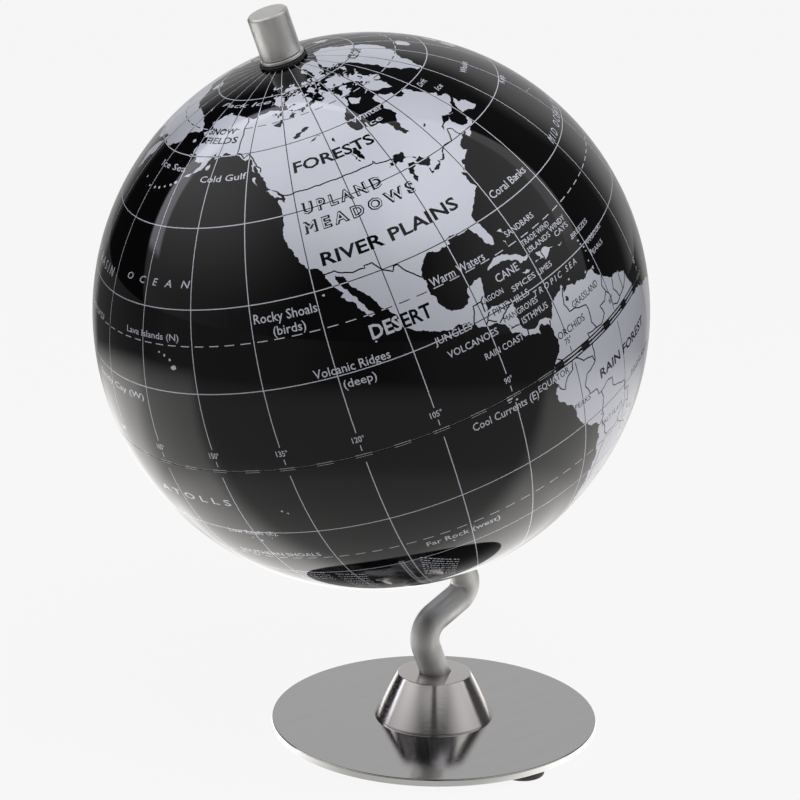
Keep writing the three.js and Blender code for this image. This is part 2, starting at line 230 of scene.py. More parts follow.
def grain(shader, scale, turn=0.0, radial=False):
    """A noise, stretched by scale along X, Y and Z; a radial one runs in rings round Z."""
    tree = shader.tree
    place = shader.node("ShaderNodeTexCoord").outputs["Object"]
    turned_place = shader.node("ShaderNodeMapping")
    turned_place.inputs["Rotation"].default_value = (0, turn, 0)
    shader.link(place, turned_place.inputs["Vector"])
    place = turned_place.outputs["Vector"]
    if radial:
        apart = shader.node("ShaderNodeSeparateXYZ")
        shader.link(place, apart.inputs[0])
        across = calc(tree, "MULTIPLY", apart.outputs[0], apart.outputs[0])
        across = calc(tree, "MULTIPLY_ADD", apart.outputs[1], apart.outputs[1], across)
        around = calc(tree, "ARCTAN2", apart.outputs[1], apart.outputs[0])
        joined = shader.node("ShaderNodeCombineXYZ")
        shader.link(calc(tree, "SQRT", across), joined.inputs[0])
        shader.link(around, joined.inputs[1])
        shader.link(apart.outputs[2], joined.inputs[2])
        place = joined.outputs[0]
    stretched = shader.node("ShaderNodeMapping")
    stretched.inputs["Scale"].default_value = scale
    shader.link(place, stretched.inputs["Vector"])
    noise = shader.node("ShaderNodeTexNoise", Scale=1.0, Detail=3.0, Roughness=0.6)
    shader.link(stretched.outputs["Vector"], noise.inputs["Vector"])
    return noise.outputs["Fac"]


def bump(shader, height, strength, distance):
    made = shader.node("ShaderNodeBump", Strength=strength, Distance=distance)
    shader.link(height, made.inputs["Height"])
    shader.to("Normal", made.outputs["Normal"])
    return made


def brushed(name, color, roughness, scale, turn=0.0, radial=False, relief=0.25 * MM, metallic=1.0):
    """Satin steel: fine stretched grain in the roughness, the colour and the relief."""
    shader = Shader(name, Metallic=metallic)
    fine = grain(shader, scale, turn, radial)
    broad = grain(shader, [s * 0.04 for s in scale], turn, radial)
    both = calc(shader.tree, "MULTIPLY_ADD", broad, 0.6, calc(shader.tree, "MULTIPLY", fine, 0.4))
    shader.to("Roughness", ramp(shader.tree, both, 0.3, 0.7, roughness * 0.75, roughness * 1.3))
    tone = shader.node("ShaderNodeMix", data_type="RGBA")
    tone.inputs["A"].default_value = (*[c * 0.93 for c in color], 1)
    tone.inputs["B"].default_value = (*[min(1.0, c * 1.06) for c in color], 1)
    shader.link(both, tone.inputs["Factor"])
    shader.to("Base Color", tone.outputs["Result"])
    bump(shader, fine, 0.12, relief)
    return shader.material


def moulded(name, color, roughness, relief, scale):
    """Moulded plastic or rubber: a faint mottle and a fine skin texture."""
    shader = Shader(name)
    skin = grain(shader, (scale, scale, scale))
    cloud = grain(shader, (scale * 0.15, scale * 0.15, scale * 0.15))
    tone = shader.node("ShaderNodeMix", data_type="RGBA")
    tone.inputs["A"].default_value = (*[c * 0.82 for c in color], 1)
    tone.inputs["B"].default_value = (*[min(1.0, c * 1.15) for c in color], 1)
    shader.link(cloud, tone.inputs["Factor"])
    shader.to("Base Color", tone.outputs["Result"])
    shader.to("Roughness", ramp(shader.tree, skin, 0.3, 0.7, roughness * 0.85, roughness * 1.15))
    bump(shader, skin, 0.3, relief)
    return shader.material


def lacquered(name, color, metallic, under_roughness, flake):
    """A printing ink under clear gloss lacquer. The lacquer keeps a faint orange-peel relief."""
    shader = Shader(
        name,
        Base_Color=(*color, 1),
        Metallic=metallic,
        Coat_Weight=1.0,
        Coat_Roughness=0.03,
        Coat_IOR=1.5,
        IOR=1.5,
        Specular_IOR_Level=0.0,
    )
    speck = grain(shader, (flake, flake, flake))
    shader.to("Roughness", ramp(shader.tree, speck, 0.3, 0.7, under_roughness * 0.8, under_roughness * 1.2))
    peel = grain(shader, (420, 420, 420))
    height = shader.node("ShaderNodeBump", Strength=0.05, Distance=0.02 * MM)
    shader.link(peel, height.inputs["Height"])
    shader.to("Coat Normal", height.outputs["Normal"])
    return shader.material


INK = lacquered("ink_black", (0.0022, 0.0022, 0.0026), 0.0, 0.5, 9000)
SILVER = lacquered("ink_silver", (0.65, 0.67, 0.755), 0.35, 0.42, 16000)
SHELL = moulded("shell_plastic", (0.62, 0.62, 0.60), 0.5, 0.02 * MM, 900)
NYLON = moulded("white_nylon", (0.74, 0.74, 0.71), 0.42, 0.02 * MM, 1200)
RUBBER = moulded("dark_rubber", (0.022, 0.021, 0.021), 0.62, 0.05 * MM, 2200)
SHEET_STEEL = brushed("sheet_steel", (0.66, 0.653, 0.645), 0.05, (900, 14000, 900), relief=0.04 * MM)
TURNED_STEEL = brushed(
    "turned_steel", (0.78, 0.75, 0.735), 0.16, (260, 55, 260), radial=True,
    relief=0.05 * MM)
ROD_STEEL = brushed(
    "rod_steel", (0.6, 0.597, 0.587), 0.52, (7000, 7000, 500),
    relief=0.1 * MM, metallic=0.9)
CAP_STEEL = brushed(
    "cap_steel", (0.95, 0.94, 0.915), 0.33, (1500, 1500, 420),
    turn=TILT, relief=0.9 * MM, metallic=0.86)
BRIGHT_STEEL = brushed("bright_steel", (0.55, 0.55, 0.56), 0.2, (3000, 3000, 3000))

# ------------------------------------------------------------------ the printed map

PRINT_TURN = math.radians(-13.94)   # how far the printed prime meridian sits round from the lean
PRINT_STRETCH = math.radians(2.1)   # the map is pulled towards the poles when it is wrapped on the ball
LINE = 0.165 * MM / BALL_RADIUS      # line widths, as angles on the ball
BORDER = 0.24 * MM / BALL_RADIUS
MERIDIAN_END = 84.6
COAST_STEP = math.radians(0.6)      # coastlines are broken down to stretches of this length

LANDS = [
    [
        (-168, 65.6), (-164, 66.5), (-161.9, 66.2), (-163.5, 67.2), (-166.7, 68.3), (-163.2, 69.3),
        (-161, 70.3), (-156.6, 71.3), (-151.5, 70.4), (-145, 70), (-141, 69.7), (-136.5, 68.9),
        (-134.4, 69.6), (-129.5, 69.9), (-127.7, 70.4), (-124.4, 70), (-122, 69.7), (-117, 68.9),
        (-114.5, 68.2), (-115, 67.9), (-109, 67.8), (-108, 68.7), (-104.5, 68), (-101, 67.7), (-98, 67.9),
        (-96.2, 68.3), (-95.5, 69.7), (-96.4, 71), (-94.6, 71.9), (-92.8, 71), (-91.6, 69.6),
        (-90.3, 68.5), (-88, 68), (-88.2, 67.1), (-86, 67.4), (-85.4, 69.2), (-82.4, 69.7), (-81.3, 68.9),
        (-82.6, 67.7), (-81.4, 67), (-84.2, 66.2), (-86.7, 66.4), (-87.2, 65.2), (-88.5, 63.9),
        (-90.8, 63.3), (-93, 62.2), (-94.3, 61), (-94.8, 59.4), (-94.6, 58.7), (-92.8, 57), (-90.5, 57.2),
        (-87.6, 56.3), (-82.4, 55.2), (-82.2, 53), (-80.6, 51.3), (-78.9, 51.4), (-79.5, 54.6),
        (-76.8, 56.2), (-77.3, 57.9), (-78.5, 58.9), (-77.6, 60.6), (-78, 62.4), (-73.8, 62.4),
        (-71.6, 61.2), (-69.6, 61), (-69.8, 59.2), (-68.2, 58.7), (-66.2, 58.9), (-65.2, 60),
        (-64.4, 60.3), (-63, 58.9), (-61.7, 57.2), (-60.4, 55.6), (-57.6, 54.6), (-58.9, 53.9),
        (-55.9, 53.1), (-55.9, 52), (-58.8, 51.1), (-60.2, 50.2), (-66, 50.2), (-67.6, 49.2),
        (-70.6, 47.3), (-68, 48.6), (-64.6, 49.2), (-65.6, 47.8), (-64.7, 46.6), (-63, 45.8), (-61.2, 46),
        (-60.4, 46.9), (-59.9, 46), (-61.4, 45.1), (-63.8, 44.5), (-65.8, 43.5), (-66.2, 44.4),
        (-64.6, 45.4), (-67.1, 44.8), (-69, 44), (-70.6, 43.2), (-70.8, 42.3), (-69.9, 41.9),
        (-71.5, 41.4), (-74, 40.8), (-74, 39.8), (-75.4, 39.3), (-75.1, 38.4), (-76.3, 39.1), (-76.3, 37),
        (-75.6, 35.3), (-77, 34.6), (-78.2, 33.9), (-79.4, 33), (-81.1, 31.8), (-81.4, 30.4),
        (-80.6, 28.4), (-80.1, 26.7), (-80.5, 25.2), (-81.3, 25.4), (-82.2, 26.9), (-82.7, 28.4),
        (-83.9, 30), (-85.4, 29.7), (-87.5, 30.3), (-89.4, 30.2), (-89.2, 29.1), (-91.2, 29.3),
        (-94.2, 29.6), (-96.2, 28.6), (-97.4, 27.4), (-97.4, 25.3), (-97.8, 22.8), (-96.6, 20.2),
        (-95.2, 18.7), (-93.6, 18.3), (-91.8, 18.5), (-90.7, 19.4), (-90.4, 21), (-88.3, 21.6),
        (-86.9, 21.4), (-87.5, 19.8), (-88, 18.4), (-88.4, 16.8), (-88.8, 15.9), (-86.4, 15.8),
        (-84.6, 15.8), (-83.2, 15), (-83.6, 12.8), (-83.7, 11), (-82.4, 9.2), (-80.8, 8.8), (-79.6, 9.5),
        (-77.9, 9.3), (-76.9, 8), (-77.5, 7), (-78.2, 8.2), (-79.5, 8.9), (-80.4, 8.2), (-80.4, 7.3),
        (-82, 8.2), (-83.6, 8.5), (-84.8, 9.9), (-85.8, 10.2), (-86, 11.3), (-87.6, 12.9), (-89.4, 13.4),
        (-91.6, 14), (-93.8, 15.8), (-95, 16.2), (-96.6, 15.7), (-99.6, 16.7), (-101.8, 17.8),
        (-104.4, 19.1), (-105.6, 20.4), (-105.4, 21.8), (-106.6, 23.3), (-108.6, 25.4), (-109.6, 26.7),
        (-110.8, 27.9), (-112.2, 29), (-113.2, 31.2), (-114.8, 31.8), (-114.6, 30.4), (-113.2, 28.8),
        (-112, 27.2), (-111.2, 25.7), (-110.4, 24.2), (-109.5, 23.2), (-110.2, 23), (-111.8, 24.6),
        (-112.3, 26), (-113.8, 26.8), (-115, 27.8), (-114.1, 28.4), (-115.4, 29.6), (-116.4, 31),
        (-117.2, 32.7), (-118.4, 33.9), (-120.6, 34.5), (-121.8, 36.4), (-122.6, 37.7), (-123.8, 39.2),
        (-124.3, 40.4), (-124.2, 42.8), (-124, 45.6), (-124.7, 48.3), (-122.9, 47.4), (-122.8, 49),
        (-125, 50.3), (-127.7, 51.3), (-128.5, 52.8), (-130.2, 54.5), (-131.4, 55.8), (-133.4, 57.2),
        (-134.6, 58.5), (-136.6, 58.3), (-139.4, 59.6), (-143.2, 60), (-146.2, 60.8), (-148.6, 60),
        (-151.6, 59.3), (-151.4, 61.1), (-153.4, 59.7), (-155, 57.9), (-157.8, 56.6), (-160.8, 55.4),
        (-164.6, 54.6), (-161.4, 56), (-158.4, 57.4), (-157.2, 58.7), (-161.6, 58.7), (-162.2, 60),
        (-165.4, 60.6), (-166, 61.8), (-164.8, 63), (-161.2, 63.5), (-161, 64.5), (-164.8, 64.5),
    ],
    [
        (-73, 78.2), (-67.5, 80.2), (-62, 81.2), (-52, 82.3), (-40, 83.1), (-30, 83.6), (-21, 82.3),
        (-12.5, 81.5), (-19, 79.2), (-19.5, 76.5), (-22, 74.5), (-22, 72.3), (-24, 70.2), (-30, 68.4),
        (-35, 66.2), (-40, 65), (-41.5, 62.5), (-43.6, 60), (-47.5, 60.8), (-51.5, 63.6), (-53.6, 66.5),
        (-52.5, 68.6), (-54.5, 70.6), (-55.5, 73), (-58.5, 75.5), (-66, 76.1), (-71, 77),
    ],
    [
        (-88.5, 73.5), (-85, 73.8), (-81, 73.6), (-77, 72.7), (-71.5, 71.3), (-68, 70.2), (-66.6, 68.6),
        (-61.6, 66.8), (-64.5, 65.4), (-67.5, 66.2), (-65, 63.6), (-66, 62), (-71, 63.2), (-74.5, 64.6),
        (-78, 64.4), (-74, 66.4), (-72.8, 68.2), (-77, 69.6), (-82, 69.9), (-87, 70.2), (-89.6, 71.3),
    ],
    [
        (-90, 76.6), (-84, 76.2), (-79, 76.4), (-75.5, 78.6), (-70, 80), (-64, 81.6), (-63, 82.6),
        (-72, 83.1), (-82, 82.8), (-91, 81.8), (-86, 80.4), (-86.5, 78.8),
    ],
    [(-95, 80.2), (-91.4, 81.2), (-88.2, 79.6), (-91.5, 78.3)],
    [(-96, 76.8), (-90, 76.4), (-81, 75.7), (-80.5, 74.7), (-86, 74.6), (-92, 74.8)],
    [
        (-117, 70), (-118.6, 71.6), (-114.5, 72.9), (-109, 73), (-105.5, 73.4), (-104.5, 71.2),
        (-101.6, 69.6), (-106, 69), (-113.5, 68.6), (-116.8, 69.2),
    ],
    [(-125.5, 72), (-123, 71.2), (-120.2, 71.6), (-117.6, 73.2), (-121, 74.4), (-124.8, 74)],
    [(-117.4, 75.4), (-115, 76.4), (-109, 76.6), (-105.8, 75.4), (-111.5, 74.5)],
    [(-103.5, 75.6), (-99, 76.6), (-98, 75)],
    [(-102, 72.8), (-99, 73.8), (-97, 73.2), (-98.5, 71.4)],
    [(-95.6, 72.2), (-94, 74), (-90.6, 73.6), (-92.6, 72.1)],
    [(-87, 63.7), (-85.6, 65.6), (-81, 64.2), (-84, 63)],
    [(-99.4, 69.6), (-96, 69.2), (-97, 68.6)],
    [
        (-59.2, 47.8), (-57.8, 50.2), (-55.6, 51.5), (-56.2, 50), (-53.6, 49.2), (-52.8, 47.2),
        (-54.2, 46.9), (-55.8, 47), (-56.8, 47.6),
    ],
    [(-64.4, 49.9), (-61.8, 49.2), (-63.4, 49.3)],
    [(-128.3, 50.7), (-125.4, 50.2), (-123.5, 48.6), (-125.6, 48.9)],
    [(-133, 54.1), (-131.7, 54), (-131.2, 52.1), (-132.4, 53)],
    [(-154.4, 57.4), (-152.6, 58.3), (-152.3, 57.5), (-153.8, 56.9)],
    [(-134, 57), (-132.6, 57.1), (-132.2, 55.2), (-133.4, 55.8)],
    [
        (-84.9, 21.9), (-82.8, 23), (-80.2, 23), (-77.4, 21.7), (-74.3, 20.2), (-77.6, 19.9), (-78.2, 21),
        (-81.4, 22.1), (-83.4, 22.1),
    ],
    [
        (-74.4, 18.5), (-72.6, 18.6), (-73.2, 19.8), (-70.4, 19.7), (-68.4, 18.7), (-70.4, 18.3),
        (-71.6, 17.7),
    ],
    [(-78.3, 18.3), (-77, 18.4), (-76.3, 17.9), (-77.6, 17.8)],
    [(-67.2, 18.4), (-65.7, 18.3), (-66.8, 17.9)],
    [(-61.8, 10.7), (-61, 10.8), (-61.2, 10.1)],
    [(-78.4, 25), (-77.8, 24.6), (-78, 23.8)],
    [(-78.4, 26.8), (-77.2, 26.8), (-77.2, 25.9)],
    [(-73.6, 21.2), (-73, 21.2), (-73.3, 20.9)],
    [
        (-77.5, 7), (-76.9, 8), (-76.2, 9.2), (-75.4, 10.8), (-74.2, 11.3), (-72.8, 11.7), (-71.4, 12.4),
        (-71.6, 10.9), (-70.2, 11.6), (-69.6, 11.4), (-68.2, 10.6), (-66, 10.6), (-64.6, 10.2),
        (-62, 10.7), (-61.8, 9.6), (-60, 8.4), (-58.4, 7), (-57, 6), (-54, 5.9), (-51.8, 4.6), (-50.8, 2),
        (-50, 0.4), (-51.2, -1), (-48.6, -0.8), (-46.6, -1.1), (-44.4, -2.4), (-41.6, -2.9),
        (-38.6, -3.7), (-36.8, -4.8), (-35.3, -5.4), (-34.8, -7.6), (-36, -10.2), (-37.6, -12),
        (-38.9, -13.6), (-39.2, -17.4), (-40.6, -20.6), (-41.8, -22.8), (-44.6, -23.2), (-47, -24.6),
        (-48.6, -26.4), (-49.4, -28.8), (-51.6, -31.6), (-53.8, -34.2), (-56.4, -34.9), (-58.3, -34),
        (-57.2, -36.2), (-58.2, -38.4), (-62.2, -39), (-62.6, -40.8), (-65, -41), (-63.8, -42.6),
        (-65.4, -44.6), (-67.4, -46), (-65.8, -47.4), (-68.2, -50), (-69, -51.6), (-68.4, -52.8),
        (-65.2, -54.8), (-68.6, -55.4), (-72.8, -53.6), (-75, -51.4), (-74.4, -48.4), (-75.6, -46.8),
        (-73.2, -44.8), (-73.6, -41.8), (-73.6, -38), (-72.6, -35.6), (-71.6, -32.8), (-71.4, -29.8),
        (-70.4, -26), (-70.2, -21.4), (-70.4, -18.2), (-73.4, -16.4), (-76.2, -13.8), (-77.3, -11.8),
        (-79, -8.2), (-81, -6), (-81.3, -4.4), (-80, -3.2), (-80.8, -2.2), (-80, 0.4), (-78.8, 1.6),
        (-77.3, 3.4), (-77.6, 5.6),
    ],
    [(-61, -52), (-58, -51), (-60, -52)],
    [
        (-6, 36), (-2, 35), (3, 37), (10, 37), (10, 34), (15, 32), (19, 30), (23, 32), (29, 31), (32, 32),
        (34, 27), (36, 24), (37, 21), (39, 18), (41, 15), (43, 12), (44, 10), (51, 12), (49, 7), (46, 3),
        (42, -1), (39, -5), (39, -8), (41, -11), (41, -15), (37, -18), (35, -20), (36, -24), (33, -26),
        (32, -29), (28, -33), (20, -35), (18, -32), (15, -27), (14, -23), (12, -18), (14, -12), (12, -6),
        (9, -2), (10, 1), (10, 4), (8, 5), (6, 4), (4, 6), (1, 6), (-2, 5), (-8, 4), (-11, 7), (-13, 9),
        (-15, 11), (-17, 15), (-16, 19), (-17, 21), (-15, 26), (-11, 28), (-10, 32), (-7, 34),
    ],
    [(49, -12), (50, -16), (47, -25), (45, -25), (43, -22), (44, -16)],
    [
        (-6, 36), (-9, 37), (-9, 43), (-2, 43), (-1, 46), (-5, 48), (-2, 49), (2, 51), (6, 54), (8, 57),
        (11, 54), (19, 54), (21, 56), (24, 59), (30, 60), (25, 60), (21, 62), (25, 65), (17, 62),
        (19, 60), (16, 57), (11, 59), (6, 59), (5, 62), (10, 64), (14, 67), (19, 70), (26, 71), (41, 67),
        (33, 67), (40, 65), (44, 68), (54, 68), (60, 69), (67, 69), (69, 73), (74, 68), (75, 72),
        (81, 74), (98, 76), (104, 78), (113, 76), (107, 73), (123, 73), (131, 71), (140, 72), (150, 71),
        (160, 70), (170, 70), (180, 69), (190, 66), (181, 65), (179, 62), (171, 60), (164, 60), (162, 56),
        (160, 53), (157, 51), (156, 56), (162, 60), (164, 62), (155, 59), (149, 59), (142, 59), (135, 55),
        (141, 53), (140, 49), (136, 44), (132, 43), (130, 41), (129, 37), (126, 34), (127, 37), (125, 40),
        (122, 39), (118, 39), (122, 37), (119, 35), (122, 32), (122, 29), (119, 25), (114, 22), (110, 21),
        (106, 19), (109, 15), (109, 12), (107, 10), (105, 9), (102, 12), (99, 11), (101, 7), (103, 4),
        (104, 1), (101, 3), (98, 8), (99, 12), (98, 16), (94, 16), (94, 19), (92, 22), (88, 22), (87, 20),
        (82, 17), (80, 14), (80, 10), (78, 8), (76, 10), (74, 14), (73, 19), (70, 21), (67, 25), (62, 25),
        (57, 26), (52, 28), (49, 30), (50, 26), (52, 24), (56, 26), (60, 22), (58, 19), (55, 17),
        (52, 16), (45, 13), (43, 16), (39, 21), (35, 28), (33, 30), (36, 35), (32, 36), (28, 37),
        (26, 39), (29, 41), (35, 42), (42, 42), (38, 44), (39, 47), (35, 46), (32, 47), (29, 44),
        (26, 41), (23, 40), (23, 36), (21, 38), (19, 41), (15, 44), (18, 40), (16, 38), (14, 41),
        (10, 44), (6, 43), (3, 42), (0, 40), (-2, 37),
    ],
    [(-6, 50), (1, 51), (-2, 55), (-2, 58), (-6, 56), (-3, 54), (-5, 52)],
    [(-6, 53), (-6, 52), (-10, 52), (-10, 54), (-7, 55), (-6, 54)],
    [(-22, 64), (-22, 65), (-22, 66), (-16, 66), (-14, 65), (-19, 63)],
    [(11, 79), (17, 80), (27, 80), (22, 78), (17, 77), (14, 78)],
    [(52, 72), (56, 75), (68, 77), (60, 75), (56, 73), (57, 71)],
    [(95, 79), (97, 81), (103, 79), (100, 78)],
    [(138, 75), (145, 76), (150, 75), (143, 73)],
    [(179, 71), (181, 72), (182, 71)],
    [(12, 38), (16, 38), (15, 37)],
    [(8, 41), (10, 41), (10, 39), (8, 39)],
    [(24, 35), (26, 35), (25, 35)],
    [(32, 35), (34, 36), (33, 35)],
    [(80, 10), (82, 7), (80, 6)],
    [(142, 54), (144, 50), (143, 46), (142, 47), (142, 50)],
    [(140, 42), (142, 45), (145, 43), (143, 42)],
    [
        (131, 34), (136, 36), (137, 37), (140, 39), (140, 41), (142, 40), (141, 36), (139, 35), (136, 34),
        (133, 34),
    ],
    [(130, 33), (132, 34), (131, 31), (130, 31)],
    [(132, 34), (135, 34), (133, 33)],
    [(122, 25), (121, 22), (120, 23)],
    [(109, 19), (111, 20), (110, 18)],
    [(120, 18), (122, 18), (122, 16), (124, 13), (121, 14), (120, 16)],
    [(122, 12), (125, 12), (125, 10), (123, 9)],
    [(122, 7), (124, 9), (126, 10), (126, 7), (125, 6), (124, 7)],
    [(117, 8), (120, 11), (119, 10)],
    [
        (109, 2), (111, 3), (114, 4), (117, 7), (119, 5), (118, 1), (116, -4), (114, -4), (112, -3),
        (110, -1),
    ],
    [(95, 6), (98, 5), (101, 2), (104, -1), (106, -3), (106, -6), (104, -6), (101, -3), (99, 1)],
    [(105, -7), (109, -7), (113, -7), (114, -8), (110, -8), (106, -7)],
    [(116, -8), (119, -8), (123, -8), (120, -9), (117, -9)],
    [(124, -10), (127, -8), (126, -9)],
    [(120, 1), (125, 2), (123, 0), (120, 0), (123, -1), (123, -5), (121, -3), (120, -6), (119, -3)],
    [(128, 2), (129, 1), (128, -1)],
    [
        (131, -1), (134, -1), (135, -3), (138, -2), (141, -3), (146, -5), (148, -6), (151, -10),
        (147, -9), (143, -9), (138, -8), (137, -5), (133, -4), (134, -2),
    ],
    [(148, -6), (152, -4), (151, -6)],
    [(155, -6), (160, -9), (162, -10), (157, -8)],
    [(164, -20), (167, -22), (166, -22)],
    [
        (114, -23), (114, -26), (116, -32), (118, -35), (123, -34), (126, -32), (131, -32), (134, -33),
        (136, -35), (138, -33), (138, -36), (140, -38), (144, -39), (150, -37), (151, -34), (153, -29),
        (153, -25), (151, -23), (149, -20), (146, -19), (145, -15), (142, -11), (142, -14), (141, -17),
        (136, -15), (137, -12), (133, -11), (131, -13), (129, -15), (126, -14), (122, -18), (119, -20),
        (116, -21),
    ],
    [(145, -41), (148, -41), (147, -43), (146, -43)],
    [(173, -35), (176, -37), (178, -38), (176, -41), (174, -39), (175, -37)],
    [(173, -41), (174, -42), (171, -45), (169, -47), (167, -46), (170, -43)],
    [
        (-180, -78), (-165, -78), (-150, -77), (-135, -74), (-115, -74), (-100, -72), (-80, -73),
        (-68, -70), (-65, -66), (-58, -63), (-61, -68), (-62, -74), (-75, -78), (-50, -78), (-35, -78),
        (-25, -74), (-10, -71), (10, -70), (30, -70), (40, -69), (50, -67), (60, -67), (70, -69),
        (80, -68), (95, -66), (110, -66), (125, -66), (140, -67), (155, -69), (170, -72), (166, -78),
    ],
]

# Islands too small for an outline, as (longitude, latitude, radius in degrees).
ISLETS = [
    (-155.6, 19.5, 0.75), (-156.5, 20.9, 0.35), (-158, 21.6, 0.35), (-159.6, 22.1, 0.3),
    (-91.1, -0.6, 0.6), (-89.6, -1, 0.3), (-90.6, -0.4, 0.3), (-118.3, 29, 0.3), (-111, 18.8, 0.25),
    (-61.5, 16.2, 0.3), (-61.4, 15.4, 0.28), (-61, 14.6, 0.28), (-61, 13.8, 0.25), (-61.7, 12.1, 0.25),
    (-59.6, 13.2, 0.25), (-62.8, 17.3, 0.22), (-64.8, 32.4, 0.25), (-64, 11, 0.3), (-69, 12.2, 0.28),
    (-166.6, 53.9, 0.5), (-168.6, 53.2, 0.4), (-171.5, 52.6, 0.35), (-174.4, 52.1, 0.4),
    (-177.2, 51.8, 0.4), (178.8, 51.7, 0.35), (173.2, 52.8, 0.35), (-170.4, 63.4, 0.55), (-166.2, 60.1, 0.5),
    (-151.4, -16.8, 0.25), (-149.5, -17.6, 0.35), (-140.1, -9.2, 0.3), (-139, -9.8, 0.25),
    (-144.6, -15.8, 0.22), (-146.4, -16.6, 0.2), (-109.4, -27.1, 0.3), (-176.2, -43.9, 0.35),
    (178, -17.8, 0.6), (179.2, -16.6, 0.4), (-172, -13.8, 0.35), (-170.8, -14.3, 0.2), (-175.2, -21.2, 0.25),
    (167.2, -15.4, 0.4), (168.3, -17.7, 0.3), (171.2, 7.1, 0.2), (158.2, 6.9, 0.2), (144.8, 13.5, 0.3),
    (-17.2, 28.2, 0.3), (-15.6, 28.1, 0.3), (-14, 28.5, 0.3), (-25.6, 37.8, 0.3),
    (-28.3, 38.5, 0.3), (-23.6, 15.1, 0.3), (-24.9, 16.9, 0.25), (55.5, -21.1, 0.3), (57.6, -20.3, 0.3),
    (69.2, -49.4, 0.7), (-36.8, -54.4, 0.7), (-7, 62.1, 0.3), (3, 39.6, 0.4), (9.2, 42.2, 0.5),
     (53.8, 12.5, 0.4),
    (92.8, 12.4, 0.35), (128.1, 26.6, 0.3), (150, 46.4, 0.4), (153, 48.6, 0.3),
]

LAKES = [
    [(-92, 46.7), (-89.4, 48), (-88.2, 48.7), (-86.2, 48.6), (-84.7, 46.7), (-87.4, 46.5), (-90.4, 46.8)],
    [(-87.6, 41.7), (-86.4, 42.6), (-86.3, 44.4), (-85, 45.6), (-86.8, 45.8), (-87.9, 44.2), (-87.9, 42.6)],
    [(-84.6, 45.8), (-82.4, 46), (-80.2, 45), (-81.7, 43.4), (-82.5, 43.4), (-83.6, 44.2)],
    [(-83.3, 41.8), (-81.4, 42.5), (-79, 42.8), (-80.8, 41.8)],
    [(-79.7, 43.4), (-76.4, 44.1), (-76.8, 43.3)],
    [(-98.6, 53.6), (-97.4, 53.8), (-96.4, 51.4), (-96.7, 50.4), (-98, 51.6)],
    [(-99.8, 52.8), (-99, 52.6), (-98, 50.4), (-99.2, 51.2)],
    [(-111, 58.6), (-108.4, 59.5), (-106, 59.6), (-108.6, 59)],
    [(-103, 57.6), (-102, 57.9), (-102, 56.4)],
    [(-116.8, 61), (-115, 62), (-111, 62.9), (-109.2, 62.7), (-112.4, 61.8), (-113.6, 61)],
    [(-125, 65.9), (-121.4, 66.9), (-118.4, 66.8), (-120, 65.8), (-121.6, 64.9), (-123, 65.2)],
    [(-113, 41.6), (-112.2, 41.4), (-112.3, 40.7)],
    [(-72, 66.8), (-70, 66.8), (-70.6, 66.1)],
    [(-74.2, 50.5), (-72.8, 51.4), (-73.4, 50.4)],
    [(-85.9, 12), (-85, 11.3), (-85.4, 11.2)],
    [(-71.8, 10.3), (-71.1, 9.8), (-71.4, 9.1), (-72, 9.4)],
    [(-70, -15.5), (-68.8, -16.4), (-69.6, -16.3)],
    [(31.8, -0.6), (34, 0.3), (33.8, -2), (32, -2.5)],
    [(29.2, -3.4), (29.8, -4), (31.2, -8.6), (30.4, -8.2), (29.2, -5.6)],
    [(34, -9.6), (34.8, -11.4), (35, -14.2), (34.2, -12.4)],
    [(13.4, 13.6), (14.8, 13.2), (14, 12.6)],
    [
        (47, 44.6), (49.4, 46.6), (53, 46.8), (51.4, 44.6), (50.4, 44.4), (52.6, 42.4), (53.6, 40.8),
        (52.8, 39.8), (53.8, 37), (51, 36.7), (48.9, 38.2), (49.6, 40.4), (47.6, 43),
    ],
    [(58.4, 45.6), (61, 46.4), (60.4, 44.6), (58.6, 43.8)],
    [(73.8, 46), (78.8, 46.8), (76, 46.4), (74, 45.2)],
    [(103.8, 51.5), (106, 52), (109.6, 55), (109.4, 55.6), (107, 53.4), (105, 52)],
    [(30.2, 61), (31.6, 61.6), (32.8, 60.8), (31.2, 60)],
    [(34.4, 62), (36, 61.8), (35.6, 61)],
]

